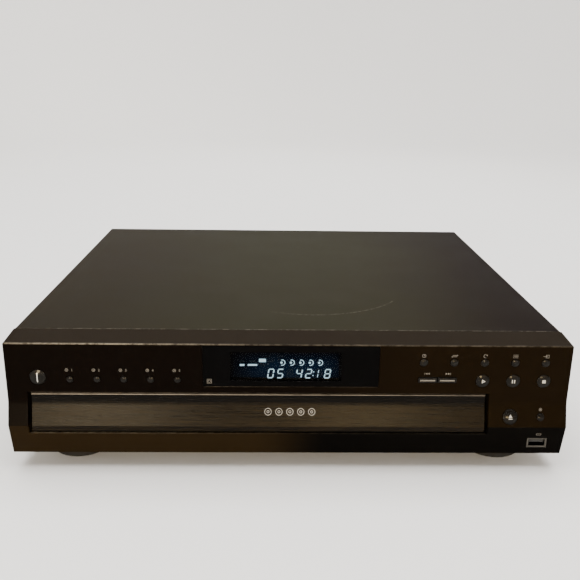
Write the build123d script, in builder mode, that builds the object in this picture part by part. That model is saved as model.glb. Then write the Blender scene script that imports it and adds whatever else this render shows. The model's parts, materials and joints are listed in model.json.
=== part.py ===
from build123d import *
from math import acos, atan2, cos, degrees, pi, radians, sin, tan
import os

os.makedirs("parts", exist_ok=True)

# ======================================================================== driving dimensions
# Millimetres. +X right, +Y back, +Z up. The origin lies under the middle of the object's box,
# on the surface that it stands on.

# cabinet
width = 430.0              # moulded front, side to side
height = 108.5             # feet to the top of the cover
depth = 397.0              # crease of the front to the ends of the rear sockets
foot_height = 15.0
foot_radius = 25.0
foot_inset = 43.0          # side of the cabinet to the middle of a foot
foot_front_inset = 48.5    # front crease to the middle of a front foot
foot_rear_inset = 44.7     # back of the cover to the middle of a rear foot
sheet = 1.0                # steel of the chassis, cover and back
bend_radius = 2.0          # outer bend of the cover
cover_inset = 0.7          # the cover is this much narrower than the front, each side
cover_skirt = 1.5          # the cover's sides end this far above the chassis underside
rear_stand = 8.8           # rear sockets stand this far off the back of the cover
rear_flange = 12.0         # lip of the cover that laps over the back panel
side_screw_front = 138.5   # crease to the front screw of a side
side_screw_rear = 79.7     # back of the cover to the rear screw
side_screw_rise = 29.0     # from the chassis underside
rear_screw_inset = 45.0    # front's end to a screw of the back
rear_screw_drop = 7.0

# clearances
fit = 0.3                  # between pieces that seat against each other
running = 0.06             # radial play of a pin or shaft in its bore
key_gap = 0.25             # between a key and its hole

# small and hidden round outlines are drawn with few sides
pin_sides = 12
wheel_sides = 32
key_hole_sides = 24

# moulded front
wall = 2.5
lip_depth = 26.0           # the front's top strip, front to back
lip_drop = 2.2
lip_radius = 0.8
flare_drop = 49.5          # top of the cover to where the face starts to flare out
flare_radius = 24.0
crease_drop = 67.6
crease_stand = 5.2         # the crease stands this far in front of the upper face
crease_radius = 0.6
toe_set_back = 0.3         # the bottom edge lies this far behind the upper face
front_raise = 0.5          # the front ends this far above the chassis underside
corner_radius = 1.5

# display
window_width = 133.9
window_x = 0.5
window_top_drop = 3.4
window_bottom_drop = 36.3
window_thickness = 2.0
window_ledge = 4.0         # lens overlaps the front by this much all round
tube_width = 84.0
tube_height = 23.0
tube_shift = -4.0           # lens's middle to the tube's middle
tube_drop = 20.0
tube_thickness = 7.0

# disc drawer
tray_inset = 18.05         # left end of the front to the drawer's front
tray_front_width = 347.9
tray_front_top_drop = 43.2
tray_front_bottom_drop = 72.0
tray_front_gap_side = 2.6
tray_front_gap_top = 1.4
tray_front_gap_bottom = 2.0
tray_front_skin = 3.3
collar_wall = 2.0          # collar round the opening, inside the front
collar_depth = 6.0
tray_width = 346.0
tray_travel = 210.0
tray_rear_set = 351.5      # crease to the drawer's rear edge
tray_runner_gap = 2.5      # opening's lower edge to the side runners
tray_floor_rise = 4.0      # runners' underside to the floor's underside
tray_floor = 2.2
tray_height = 23.0
tray_rear_radius = 60.0
tray_rim = 3.0             # walls of the drawer's corner pockets
cutout_width = 96.0        # gap at the rear of the drawer, over the pickup
cutout_reach = 76.0        # carousel's axis to the front of that gap

# carousel
carousel_set = 180.5       # crease to the carousel's axis
carousel_radius = 167.0
carousel_pocket_gap = 1.6
carousel_thickness = 4.8
disc_count = 5
disc_circle = 104.0        # carousel's axis to a disc's middle
well_radius = 60.6
well_depth = 2.6
small_well_radius = 40.6
small_well_depth = 0.8
slot_width = 40.0
carousel_boss_radius = 21.0
carousel_boss_height = 2.4
carousel_post_radius = 6.0
carousel_sleeve_wall = 3.5
carousel_pad_radius = 119.5 # circle of the pads that the carousel slides on
carousel_pad_count = 6
carousel_pad_width = 3.0
carousel_pad_length = 46.0 # longer than a slot is wide

# gears
pressure_angle = radians(20)
addendum = 0.85            # of the module
dedendum = 1.1             # of the module
tooth_play = 0.15          # of the module
ring_module = 3.0
ring_teeth = 48
ring_gear_wall = 5.0
ring_gear_height = 5.0
drive_teeth = 8            # meshes with the carousel's ring
wheel_module = 1.5
drive_wheel_teeth = 26     # on the same hub, meshes with the motor pinion
motor_pinion_teeth = 8
drive_angle = 200.0        # direction of the drive gear from the carousel's axis
gear_level = 2.8           # thickness of the lower wheels
rack_module = 2.0
rack_pinion_teeth = 10
rack_shift = 87.0          # drawer's middle to the pitch line of its rack
rack_set = 48.5            # crease to the rack
rack_length = 231.0
rack_back = 6.0
tray_gear_set = 60.5       # crease to the loading gears' axes
tray_wheel_teeth = 28
pulley_pinion_teeth = 9
post_radius = 2.0          # fixed pins that carry the gears

# belt drive
big_pulley_radius = 15.0
small_pulley_radius = 4.5
pulley_thickness = 3.4
belt_thickness = 1.2
belt_width = 1.6
belt_play = 0.1
motor_distance = 34.5      # between the pulleys' axes
motor_radius = 11.5
motor_height = 8.0

# loader frame
loader_wall = 2.5
loader_side_gap = 3.5      # drawer to the frame's wall
loader_front_set = 34.5    # crease to the loader frame
loader_rear_set = 374.5    # crease to its rear wall
deck_rise = 3.0            # chassis floor to the deck's underside
deck = 2.0
ledge_width = 9.5
ledge_thickness = 2.2
hold_down = 6.5            # lips over the drawer's edges
hold_down_length = 60.0
bridge_rise = 12.0         # drawer's top to the bridge
bridge_width = 32.0
bridge_sheet = 1.2
bridge_flange = 6.0

# pickup unit, given in its own level frame: y from its hinge towards the back, z above the hinge
lift_angle = 8.0
hinge_set = 366.5          # crease to the pickup unit's hinge
hinge_rise = 7.0           # runners to the hinge
hinge_pin_radius = 2.0
hinge_post = 4.5
pickup_half_width = 40.0
pickup_front = -106.0
pickup_rear = 3.0
pickup_plate_z = 5.0
pickup_plate = 3.0
pickup_skirt_z = -4.0
pickup_wall = 2.0
hub_seat_z = 16.6
hub_radius = 14.0
hub_thickness = 3.0
hub_stem_radius = 3.0
hub_cone_radius = 7.3
hub_cone_height = 3.2
spindle_radius = 1.0
spindle_motor_radius = 10.0
spindle_motor_height = 9.0
rod_radius = 1.5
rod_x = 20.0
sled_length = 22.0
sled_front = -69.3
sled_travel = 33.5
sled_height = 6.5
lens_radius = 24.5         # disc's middle to the lens at the inner end of its travel
lens_block = 20.0
lens_top_z = 14.8
lens_opening_radius = 3.5
sled_rack_module = 1.2
sled_gear_teeth = 9
sled_rack_x = 26.0
sled_gear_y = -52.0
sled_motor_radius = 6.5
sled_motor_height = 6.0

# disc clamp
clamp_rise = 2.1           # drawer's top to the clamp
clamp_radius = 15.0
clamp_thickness = 3.0
clamp_neck_radius = 8.5
clamp_cap_radius = 13.0
clamp_cap = 2.0
clamp_play = 1.0

# keys
key_travel = 0.8
key_flange = 1.2
key_stem = 3.0
key_stand = 1.0
power_radius = 6.0
power_inset = 24.4         # from the front's left end
power_drop = 29.4
disc_key_radius = 2.5
disc_key_inset = 48.5      # first one, from the left end
disc_key_pitch = 20.2
disc_key_drop = 31.0
mode_key_radius = 3.0
mode_key_inset = 114.0     # first one, from the right end
mode_key_pitch = 23.35
mode_key_drop = 15.9
play_key_radius = 5.2
play_key_inset = 67.7      # first one, from the right end
play_key_pitch = 23.55
play_key_drop = 30.9
skip_inset = 102.65        # pair's middle, from the right end
skip_width = 29.5
skip_height = 4.5
skip_drop = 30.3
skip_split = 0.5
open_key_radius = 5.7
open_key_inset = 44.4      # from the right end
record_key_radius = 2.8
record_key_inset = 20.8    # from the right end
low_key_drop = 59.7
switch_size = 6.0
switch_height = 3.4

# boards
board = 1.6
board_front = 9.3          # inner face of the front to the face of the boards behind it
board_post = 5.0
board_post_inset = 8.0     # front's end to the outer posts
board_post_gap = 12.0      # lens to the inner posts
board_post_drop = 7.5      # top of the cover to the upper posts
upper_board_drop = 39.0    # top of the cover to the board's lower edge
upper_board_height = 34.0
upper_board_inset = 5.0
low_board_width = 48.0
low_board_inset = 31.0     # from the right end
low_board_rise = 4.5       # from the chassis underside
low_board_height = 42.5
main_board_width = 48.0
main_board_length = 200.0
main_board_set = 58.5      # crease to the board's front edge
main_board_rise = 8.0

# front socket
usb_inset = 20.75          # from the right end
usb_drop = 82.5
usb_hole_width = 16.3
usb_hole_height = 9.0
usb_mouth_width = 12.8
usb_mouth_height = 5.4
usb_metal = 0.4
usb_recess = 0.4
usb_tongue_width = 11.2
usb_tongue_thickness = 1.9

# rear sockets
line_out_inset = 79.0      # from the front's right end
rear_socket_drop = 42.5    # top of the cover to the sockets' middles
line_out_pitch = 14.0
line_out_block_width = 32.0
line_out_block_height = 15.0
line_out_block_depth = 12.0
line_out_radius = 4.15
line_out_wall = 0.45
line_out_bore = 1.75
optical_inset = 119.0      # from the right end
optical_width = 15.0
optical_height = 13.5
optical_mouth_width = 9.3
optical_mouth_height = 8.3
optical_depth = 10.8
shutter_thickness = 0.8
shutter_pin = 0.5
gland_inset = 29.0         # from the right end
gland_rise = 27.0          # from the chassis underside
gland_bore = 3.2
gland_radius = 6.0
gland_flange_radius = 8.0
gland_flange = 2.5
gland_inside = 4.0
gland_slope = 35.0         # degrees, side of the flange

# transformer
core_width = 48.0
core_height = 40.0
core_depth = 18.0
core_limb = 8.0
coil_depth = 32.0
side_bay_inset = 30.0      # right end to the middle of the bay beside the drawer
transformer_set = 49.7     # back of the cover to the transformer's middle

# ======================================================================== derived places
top = height
under = foot_height                               # underside of the chassis
floor = under + sheet                             # inside of the chassis
left_end = -width / 2                             # ends of the moulded front
right_end = width / 2
crease_y = -depth / 2
face_y = crease_y + crease_stand                  # upper face of the front
inner_face_y = face_y + wall
front_back_y = face_y + lip_depth
front_bottom = under + front_raise
back_y = depth / 2 - rear_stand                   # back of the cover
back_panel_y = back_y - sheet                     # outer face of the back panel
cover_half = width / 2 - cover_inset
chassis_half = cover_half - sheet - fit
chassis_front = front_back_y + fit
chassis_rear = back_panel_y - sheet - fit
board_y = inner_face_y + board_front              # front face of the boards behind the front
tray_front_y = face_y + tray_front_skin           # where the drawer meets its front
tray_front_top = top - tray_front_top_drop
tray_front_bottom = top - tray_front_bottom_drop
opening_top = tray_front_top + tray_front_gap_top
opening_bottom = tray_front_bottom - tray_front_gap_bottom
opening_width = tray_front_width + 2 * tray_front_gap_side
tray_runner_z = opening_bottom + tray_runner_gap  # underside of the side runners
tray_floor_z = tray_runner_z + tray_floor_rise
tray_floor_top = tray_floor_z + tray_floor
tray_top_z = tray_runner_z + tray_height
carousel_bottom = tray_top_z - carousel_thickness
pocket_radius = carousel_radius + carousel_pocket_gap
deck_z = floor + deck_rise
deck_top = deck_z + deck
loader_inner = tray_width / 2 + loader_side_gap
loader_outer = loader_inner + loader_wall
tray_x = left_end + tray_inset + tray_front_width / 2
tray_rear = crease_y + tray_rear_set
carousel_y = crease_y + carousel_set
rack_x = tray_x + rack_shift
rack_front = crease_y + rack_set
tray_gear_y = crease_y + tray_gear_set
loader_front = crease_y + loader_front_set
loader_rear = crease_y + loader_rear_set
bridge_z = tray_top_z + bridge_rise
hinge_y = crease_y + hinge_set
hinge_z = tray_runner_z + hinge_rise
clamp_z = tray_top_z + clamp_rise
play_y = carousel_y + disc_circle                 # middle of the disc that plays
spindle_y = play_y - hinge_y                      # the same, from the pickup unit's hinge
flare_tilt = atan2(crease_stand, crease_drop - flare_drop)
tube_x = window_x + tube_shift
power_x = left_end + power_inset
disc_key_x = left_end + disc_key_inset
mode_key_x = right_end - mode_key_inset
play_key_x = right_end - play_key_inset
skip_x = right_end - skip_inset
open_key_x = right_end - open_key_inset
record_key_x = right_end - record_key_inset
usb_x = right_end - usb_inset
upper_board_bottom = top - upper_board_drop
low_board_x = right_end - low_board_inset
low_board_bottom = under + low_board_rise
main_board_x = right_end - side_bay_inset
main_board_front = crease_y + main_board_set
transformer_x = right_end - side_bay_inset
transformer_y = back_y - transformer_set
line_out_x = right_end - line_out_inset
line_out_z = top - rear_socket_drop
optical_x = right_end - optical_inset
optical_z = top - rear_socket_drop
gland_x = right_end - gland_inset
gland_z = under + gland_rise


# ======================================================================== helpers
def upright(y):
    """A plane across the object at depth y that faces the front, drawn in X and Z."""
    return Plane.XZ.offset(-y)


def pin(radius):
    """A small round outline whose corners lie on the circle."""
    RegularPolygon(radius, pin_sides)


def pin_hole(radius, mode=Mode.ADD):
    """The outline of a hole that a pin of the same radius turns in."""
    RegularPolygon(radius, pin_sides, major_radius=False, mode=mode)


def wheel(radius):
    """The outline of a hidden wheel, drum or motor."""
    RegularPolygon(radius, wheel_sides)


def front_outline(inset=0.0):
    """The side outline of the moulded front, inset by a wall where one is given."""
    with BuildSketch(Plane.YZ) as outline:
        with BuildLine():
            Polyline(
                (front_back_y, top),
                (face_y, top - lip_drop),
                (face_y, top - flare_drop),
                (crease_y, top - crease_drop),
                (face_y + toe_set_back, front_bottom),
                (front_back_y, front_bottom),
                close=True,
            )
        make_face()
        fillet(outline.vertices().sort_by_distance((face_y, top - lip_drop))[0], lip_radius)
        fillet(outline.vertices().sort_by_distance((face_y, top - flare_drop))[0], flare_radius)
        fillet(outline.vertices().sort_by_distance((crease_y, top - crease_drop))[0], crease_radius)
        if inset:
            offset(amount=-inset, kind=Kind.INTERSECTION)
    return outline.sketch


def face_depth(z):
    """The depth of the front's outer face at height z, with its roundings left out."""
    drop = top - z
    if drop <= flare_drop:
        return face_y
    if drop <= crease_drop:
        return face_y - (drop - flare_drop) * tan(flare_tilt)
    rise = (top - crease_drop - z) / (top - crease_drop - front_bottom)
    return crease_y + rise * (crease_stand + toe_set_back)


def involute(angle):
    return tan(angle) - angle


def gear_outline(plane, teeth, module, turn=0.0):
    """A spur gear's outline, with a straight line from root to tip inside each involute flank."""
    pitch = module * teeth / 2
    base_circle = pitch * cos(pressure_angle)

    def half_tooth(radius):
        slope = acos(min(1.0, base_circle / max(radius, base_circle)))
        spread = involute(pressure_angle) - involute(slope)
        return pi / (2 * teeth) + spread - tooth_play * module / (2 * pitch)

    root = pitch - dedendum * module
    tip = pitch + addendum * module
    flank = [(root, -1), (tip, -1), (tip, 1), (root, 1)]
    points = []
    for tooth in range(teeth):
        middle = radians(turn) + 2 * pi * tooth / teeth
        for radius, side in flank:
            angle = middle + side * half_tooth(radius)
            points.append((radius * cos(angle), radius * sin(angle)))
    with BuildSketch(plane) as gear:
        with BuildLine():
            Polyline(*points, close=True)
        make_face()
    return gear.sketch


def rack_outline(plane, x, start, length, back, module):
    """A rack along Y whose teeth face +X, with its pitch line at x and a tooth's middle at start."""
    pitch = pi * module
    half = pitch / 4 - tooth_play * module / 2
    rise = tan(pressure_angle) * module
    root_x = x - dedendum * module
    tip_x = x + addendum * module
    count = int(length / pitch)
    points = [(root_x - back, start - pitch / 2)]
    for tooth in range(count):
        middle = start + tooth * pitch
        points.append((root_x, middle - half - dedendum * rise))
        points.append((tip_x, middle - half + addendum * rise))
        points.append((tip_x, middle + half - addendum * rise))
        points.append((root_x, middle + half + dedendum * rise))
    points.append((root_x - back, start + (count - 0.5) * pitch))
    with BuildSketch(plane) as rack:
        with BuildLine():
            Polyline(*points, close=True)
        make_face()
    return rack.sketch


# ======================================================================== keys: name, place, size
round_keys = {"power_button": (power_x, top - power_drop, power_radius)}
for disc in range(disc_count):
    disc_place = (disc_key_x + disc * disc_key_pitch, top - disc_key_drop, disc_key_radius)
    round_keys[f"disc_{disc + 1}_button"] = disc_place
mode_names = ["time_button", "mode_button", "repeat_button", "edit_button", "source_button"]
for step, name in enumerate(mode_names):
    round_keys[name] = (mode_key_x + step * mode_key_pitch, top - mode_key_drop, mode_key_radius)
for step, name in enumerate(["play_button", "pause_button", "stop_button"]):
    round_keys[name] = (play_key_x + step * play_key_pitch, top - play_key_drop, play_key_radius)
round_keys["open_close_button"] = (open_key_x, top - low_key_drop, open_key_radius)
round_keys["record_button"] = (record_key_x, top - low_key_drop, record_key_radius)

skip_key_width = (skip_width - skip_split) / 2
skip_shift = (skip_key_width + skip_split) / 2
skip_keys = {
    "skip_back_button": skip_x - skip_shift,
    "skip_forward_button": skip_x + skip_shift,
}
key_axes = [(x, z) for x, z, radius in round_keys.values()]
key_axes += [(x, top - skip_drop) for x in skip_keys.values()]
switch_front = board_y - switch_height

# ======================================================================== moulded front
window_height = window_bottom_drop - window_top_drop
window_z = top - (window_top_drop + window_bottom_drop) / 2
opening_z = (opening_top + opening_bottom) / 2
opening_height = opening_top - opening_bottom
usb_z = top - usb_drop
inner_post = window_width / 2 + board_post_gap
post_columns = [
    left_end + board_post_inset,
    window_x - inner_post,
    window_x + inner_post,
    right_end - board_post_inset,
]
post_rows = [upper_board_bottom + board_post / 2 + 0.1, top - board_post_drop]
board_posts = [(x, z) for x in post_columns for z in post_rows]
low_post_shift = low_board_width / 2 - 4
low_board_posts = [(low_board_x + side * low_post_shift, low_board_bottom + 3) for side in (-1, 1)]

with BuildPart() as front_panel:
    extrude(front_outline(), amount=width / 2, both=True)
    ends = front_panel.faces().filter_by(Axis.X)
    rounded = ends.edges().filter_by(lambda edge: edge.center().Y < face_y + wall)
    fillet(rounded, corner_radius)
    # hollow, open at the back
    extrude(front_outline(wall), amount=width / 2 - wall, both=True, mode=Mode.SUBTRACT)
    with BuildSketch(Plane.XY.offset(front_bottom + wall)):
        with Locations((0, front_back_y - wall)):
            Rectangle(width - 2 * wall, 2 * wall + 2)
    extrude(amount=top - front_bottom - 2 * wall - 1, mode=Mode.SUBTRACT)
    # collar round the drawer's opening
    with BuildSketch(upright(inner_face_y + collar_depth)):
        with Locations((tray_x, opening_z)):
            Rectangle(opening_width + 2 * collar_wall, opening_height + 2 * collar_wall)
    extrude(amount=collar_depth + wall - 0.5)
    # seat and opening of the display lens
    with BuildSketch(upright(face_y + window_thickness)):
        with Locations((window_x, window_z)):
            Rectangle(window_width + fit, window_height + fit)
    extrude(amount=window_thickness, mode=Mode.SUBTRACT)
    with BuildSketch(upright(inner_face_y + 1)):
        with Locations((window_x, window_z)):
            Rectangle(window_width - 2 * window_ledge, window_height - 2 * window_ledge)
    extrude(amount=wall + 2, mode=Mode.SUBTRACT)
    # opening of the drawer
    with BuildSketch(upright(front_back_y)):
        with Locations((tray_x, opening_z)):
            Rectangle(opening_width, opening_height)
    extrude(amount=lip_depth + crease_stand + 1, mode=Mode.SUBTRACT)
    # key holes
    with BuildSketch(upright(front_back_y)):
        for x, z, radius in round_keys.values():
            with Locations((x, z)):
                sides = key_hole_sides if radius > mode_key_radius else pin_sides
                RegularPolygon(radius + key_gap, sides, major_radius=False)
        with Locations((skip_x, top - skip_drop)):
            Rectangle(skip_width + 2 * key_gap, skip_height + 2 * key_gap)
        with Locations((usb_x, usb_z)):
            Rectangle(usb_hole_width, usb_hole_height)
    extrude(amount=lip_depth + crease_stand + 1, mode=Mode.SUBTRACT)
    # posts that carry the boards
    with BuildSketch(upright(board_y)):
        with Locations(*board_posts, *low_board_posts):
            Rectangle(board_post, board_post)
    extrude(amount=board_front + 1)
front_panel.part.label = "front_panel"
export_step(front_panel.part, "parts/front_panel.step")

with BuildPart() as display_window:
    with BuildSketch(upright(face_y + window_thickness - 0.1)):
        with Locations((window_x, window_z)):
            Rectangle(window_width, window_height)
    extrude(amount=window_thickness - 0.1)
display_window.part.label = "display_window"
export_step(display_window.part, "parts/display_window.step")

# ======================================================================== keys
for name, (x, z, radius) in round_keys.items():
    tip_y = face_depth(z) - key_stand
    slanted = tip_y < face_y - 2 * key_stand
    with BuildPart() as key:
        with BuildSketch(upright(inner_face_y + fit + key_flange)):
            with Locations((x, z)):
                Rectangle(2 * radius + 2, 2 * radius + 2)
        extrude(amount=key_flange)
        with BuildSketch(upright(switch_front - key_travel - 0.1)):
            with Locations((x, z)):
                Rectangle(key_stem, key_stem)
        extrude(amount=switch_front - key_travel - 0.1 - inner_face_y - fit)
        with BuildSketch(upright(inner_face_y + fit)):
            with Locations((x, z)):
                if radius > mode_key_radius:
                    Circle(radius)
                else:
                    pin(radius)
        extrude(amount=inner_face_y + fit - tip_y + (2 * key_stand if slanted else 0))
        if slanted:
            cut = Plane(origin=(x, tip_y, z), z_dir=(0, -cos(flare_tilt), sin(flare_tilt)))
            split(bisect_by=cut, keep=Keep.BOTTOM)
        if radius > mode_key_radius and not slanted:
            chamfer(key.faces().sort_by(Axis.Y)[0].edges(), key_stand * 0.4)
    key.part.label = name
    export_step(key.part, f"parts/{name}.step")

for name, x in skip_keys.items():
    with BuildPart() as key:
        with BuildSketch(upright(inner_face_y + fit + key_flange)):
            with Locations((x, top - skip_drop)):
                Rectangle(skip_key_width, skip_height + 2)
        extrude(amount=key_flange)
        with BuildSketch(upright(switch_front - key_travel - 0.1)):
            with Locations((x, top - skip_drop)):
                Rectangle(key_stem, key_stem)
        extrude(amount=switch_front - key_travel - 0.1 - inner_face_y - fit)
        with BuildSketch(upright(inner_face_y + fit)):
            with Locations((x, top - skip_drop)):
                Rectangle(skip_key_width, skip_height)
        extrude(amount=wall + fit + key_stand)
        chamfer(key.faces().sort_by(Axis.Y)[0].edges(), key_stand * 0.5)
    key.part.label = name
    export_step(key.part, f"parts/{name}.step")

# ======================================================================== boards behind the front
with BuildPart() as panel_boards:
    with BuildSketch(upright(board_y + board)):
        with Locations((0, upper_board_bottom + upper_board_height / 2)):
            Rectangle(width - 2 * upper_board_inset, upper_board_height)
        with Locations((low_board_x, low_board_bottom + low_board_height / 2)):
            Rectangle(low_board_width, low_board_height)
    extrude(amount=board)
panel_boards.part.label = "panel_boards"
export_step(panel_boards.part, "parts/panel_boards.step")

with BuildPart() as key_switches:
    with BuildSketch(upright(board_y)):
        with Locations(*key_axes):
            Rectangle(switch_size, switch_size)
    extrude(amount=switch_height * 0.8)
    with BuildSketch(upright(board_y)):
        with Locations(*key_axes):
            Rectangle(key_stem, key_stem)
    extrude(amount=switch_height)
key_switches.part.label = "key_switches"
export_step(key_switches.part, "parts/key_switches.step")

with BuildPart() as display_tube:
    with BuildSketch(upright(board_y)):
        with Locations((tube_x, top - tube_drop)):
            Rectangle(tube_width, tube_height)
    extrude(amount=tube_thickness)
    chamfer(display_tube.faces().sort_by(Axis.Y)[0].edges(), 1)
display_tube.part.label = "display_tube"
export_step(display_tube.part, "parts/display_tube.step")

# ======================================================================== front socket
usb_front = face_depth(usb_z) + usb_recess
with BuildPart() as usb_socket_shell:
    with BuildSketch(upright(usb_front + usb_metal)):
        with Locations((usb_x, usb_z)):
            Rectangle(usb_hole_width - 2 * fit, usb_hole_height - 2 * fit)
    extrude(amount=usb_metal)
    with BuildSketch(upright(board_y)):
        with Locations((usb_x, usb_z)):
            Rectangle(usb_mouth_width + 2 * usb_metal, usb_mouth_height + 2 * usb_metal)
    extrude(amount=board_y - usb_front - usb_metal)
    with BuildSketch(upright(board_y - usb_metal)):
        with Locations((usb_x, usb_z)):
            Rectangle(usb_mouth_width, usb_mouth_height)
    extrude(amount=board_y - usb_front, mode=Mode.SUBTRACT)
usb_socket_shell.part.label = "usb_socket_shell"
export_step(usb_socket_shell.part, "parts/usb_socket_shell.step")

with BuildPart() as usb_tongue:
    with BuildSketch(upright(board_y - usb_metal)):
        with Locations((usb_x, usb_z + usb_mouth_height / 2 - 0.6 - usb_tongue_thickness / 2)):
            Rectangle(usb_tongue_width, usb_tongue_thickness)
    extrude(amount=board_y - usb_metal - usb_front - 1)
usb_tongue.part.label = "usb_tongue"
export_step(usb_tongue.part, "parts/usb_tongue.step")

# ======================================================================== cover
side_screw_z = under + side_screw_rise
side_screws = [
    (crease_y + side_screw_front, side_screw_z),
    (back_y - side_screw_rear, side_screw_z),
]
rear_screws = [(side * (width / 2 - rear_screw_inset), top - rear_screw_drop) for side in (-1, 1)]
screw_radius = 1.5
screw_head_radius = 3.6
screw_head_stand = 0.5
skirt_z = under + cover_skirt


def cover_hoop(inset):
    """The cover's cross-section, closed at the bottom by its open mouth."""
    with BuildSketch(upright(back_y)) as hoop:
        with Locations((0, (top - inset + skirt_z) / 2)):
            Rectangle(2 * (cover_half - inset), top - inset - skirt_z)
        fillet(hoop.vertices().group_by(Axis.Y)[-1], bend_radius - inset)
    return hoop.sketch


with BuildPart() as top_cover:
    extrude(cover_hoop(0.0), amount=back_y - chassis_front)
    inner = cover_hoop(sheet)
    extrude(inner, amount=back_y - chassis_front, mode=Mode.SUBTRACT)
    with BuildSketch(upright(back_y)):
        with Locations((0, top - rear_flange / 2 - sheet / 2)):
            Rectangle(2 * cover_half - sheet, rear_flange)
        with Locations(*rear_screws):
            pin_hole(screw_radius + 0.1, mode=Mode.SUBTRACT)
    extrude(amount=sheet)
    with BuildSketch(Plane.YZ):
        with Locations(*side_screws):
            pin_hole(screw_head_radius + 0.1)
    extrude(amount=width, both=True, mode=Mode.SUBTRACT)
top_cover.part.label = "top_cover"
export_step(top_cover.part, "parts/top_cover.step")

with BuildPart() as cover_screws:
    for side in (-1, 1):
        with BuildSketch(Plane.YZ.offset(side * (cover_half + screw_head_stand))):
            with Locations(*side_screws):
                pin(screw_head_radius)
        extrude(amount=-side * (sheet + screw_head_stand + 0.2))
        with BuildSketch(Plane.YZ.offset(side * (cover_half - sheet))):
            with Locations(*side_screws):
                RegularPolygon(screw_radius, 6)
        extrude(amount=-side * 5)
    with BuildSketch(upright(back_y + 2.2)):
        with Locations(*rear_screws):
            pin(screw_head_radius - 0.6)
    extrude(amount=2.2)
    with BuildSketch(upright(back_y)):
        with Locations(*rear_screws):
            RegularPolygon(screw_radius, 6)
    extrude(amount=6)
cover_screws.part.label = "cover_screws"
export_step(cover_screws.part, "parts/cover_screws.step")

# ======================================================================== chassis
side_flange = 38.0
opening_margin = 3.0
vent_count = 12
vent_pitch = 6.0
vent_length = 34.0
vent_width = 2.4
vent_set = 60.0            # transformer's middle to the vents' middle
front_wall_drop = 5.0      # top of the cover to the chassis's front wall
lead_hole_width = 30.0
lead_hole_height = 12.0
rear_flange_height = 12.0
standoff = 6.0
standoff_inset = 5.0       # from the board's edges
chassis_length = chassis_rear - chassis_front
standoffs = [
    (main_board_x + dx, main_board_front + dy)
    for dx in (-main_board_width / 2 + standoff_inset, main_board_width / 2 - standoff_inset)
    for dy in (standoff_inset, main_board_length - standoff_inset)
]

with BuildPart() as chassis:
    with BuildSketch(Plane.XY.offset(under)):
        with Locations((0, (chassis_front + chassis_rear) / 2)):
            Rectangle(2 * chassis_half, chassis_length)
        # vents under the power supply
        with Locations((transformer_x, transformer_y - vent_set)):
            with GridLocations(0, vent_pitch, 1, vent_count):
                Rectangle(vent_length, vent_width, mode=Mode.SUBTRACT)
    extrude(amount=sheet)
    for side in (-1, 1):
        with BuildSketch(Plane.XY.offset(floor)):
            with Locations((side * (chassis_half - sheet / 2), (chassis_front + chassis_rear) / 2)):
                Rectangle(sheet, chassis_length)
        extrude(amount=side_flange)
    with BuildSketch(Plane.YZ):
        with Locations(*side_screws):
            pin_hole(screw_radius + 0.1)
    extrude(amount=width, both=True, mode=Mode.SUBTRACT)
    # front wall, with the drawer's opening and the way for the boards' leads
    with BuildSketch(upright(chassis_front + sheet)):
        with Locations((0, (floor + top - front_wall_drop) / 2)):
            Rectangle(2 * (chassis_half - sheet), top - front_wall_drop - floor)
        with Locations((tray_x, opening_z)):
            Rectangle(2 * loader_outer, opening_height + 2 * opening_margin, mode=Mode.SUBTRACT)
        with Locations((main_board_x, upper_board_bottom + lead_hole_height / 2 - 2)):
            Rectangle(lead_hole_width, lead_hole_height, mode=Mode.SUBTRACT)
    extrude(amount=sheet)
    # rear flange
    with BuildSketch(upright(chassis_rear)):
        with Locations((0, floor + rear_flange_height / 2)):
            Rectangle(2 * chassis_half, rear_flange_height)
    extrude(amount=sheet)
    # standoffs of the main board
    with BuildSketch(Plane.XY.offset(floor)):
        with Locations(*standoffs):
            Rectangle(standoff, standoff)
    extrude(amount=main_board_rise - fit)
chassis.part.label = "chassis"
export_step(chassis.part, "parts/chassis.step")

with BuildPart() as back_panel:
    with BuildSketch(upright(back_panel_y)):
        with Locations((0, (under + top - sheet - 0.5) / 2)):
            Rectangle(2 * chassis_half, top - sheet - 0.5 - under)
        with Locations((line_out_x, line_out_z)):
            Rectangle(line_out_block_width, line_out_block_height, mode=Mode.SUBTRACT)
        with Locations((optical_x, optical_z)):
            Rectangle(optical_width, optical_height, mode=Mode.SUBTRACT)
        with Locations((gland_x, gland_z)):
            Circle(gland_radius, mode=Mode.SUBTRACT)
        with Locations(*rear_screws):
            pin_hole(screw_radius + 0.1, mode=Mode.SUBTRACT)
    extrude(amount=sheet)
back_panel.part.label = "back_panel"
export_step(back_panel.part, "parts/back_panel.step")

foot_x = width / 2 - foot_inset
foot_places = [
    (side * foot_x, y)
    for side in (-1, 1)
    for y in (crease_y + foot_front_inset, back_y - foot_rear_inset)
]
foot_taper = 1.5
foot_recess_radius = 9.0
foot_recess_depth = 3.0
foot_slope = degrees(atan2(foot_taper, foot_height))
with BuildPart() as feet:
    with BuildSketch(Plane.XY.offset(foot_height)):
        with Locations(*foot_places):
            wheel(foot_radius)
    extrude(amount=-foot_height, taper=foot_slope)
    with BuildSketch(Plane.XY):
        with Locations(*foot_places):
            pin_hole(foot_recess_radius)
    extrude(amount=foot_recess_depth, mode=Mode.SUBTRACT)
feet.part.label = "feet"
export_step(feet.part, "parts/feet.step")

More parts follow.
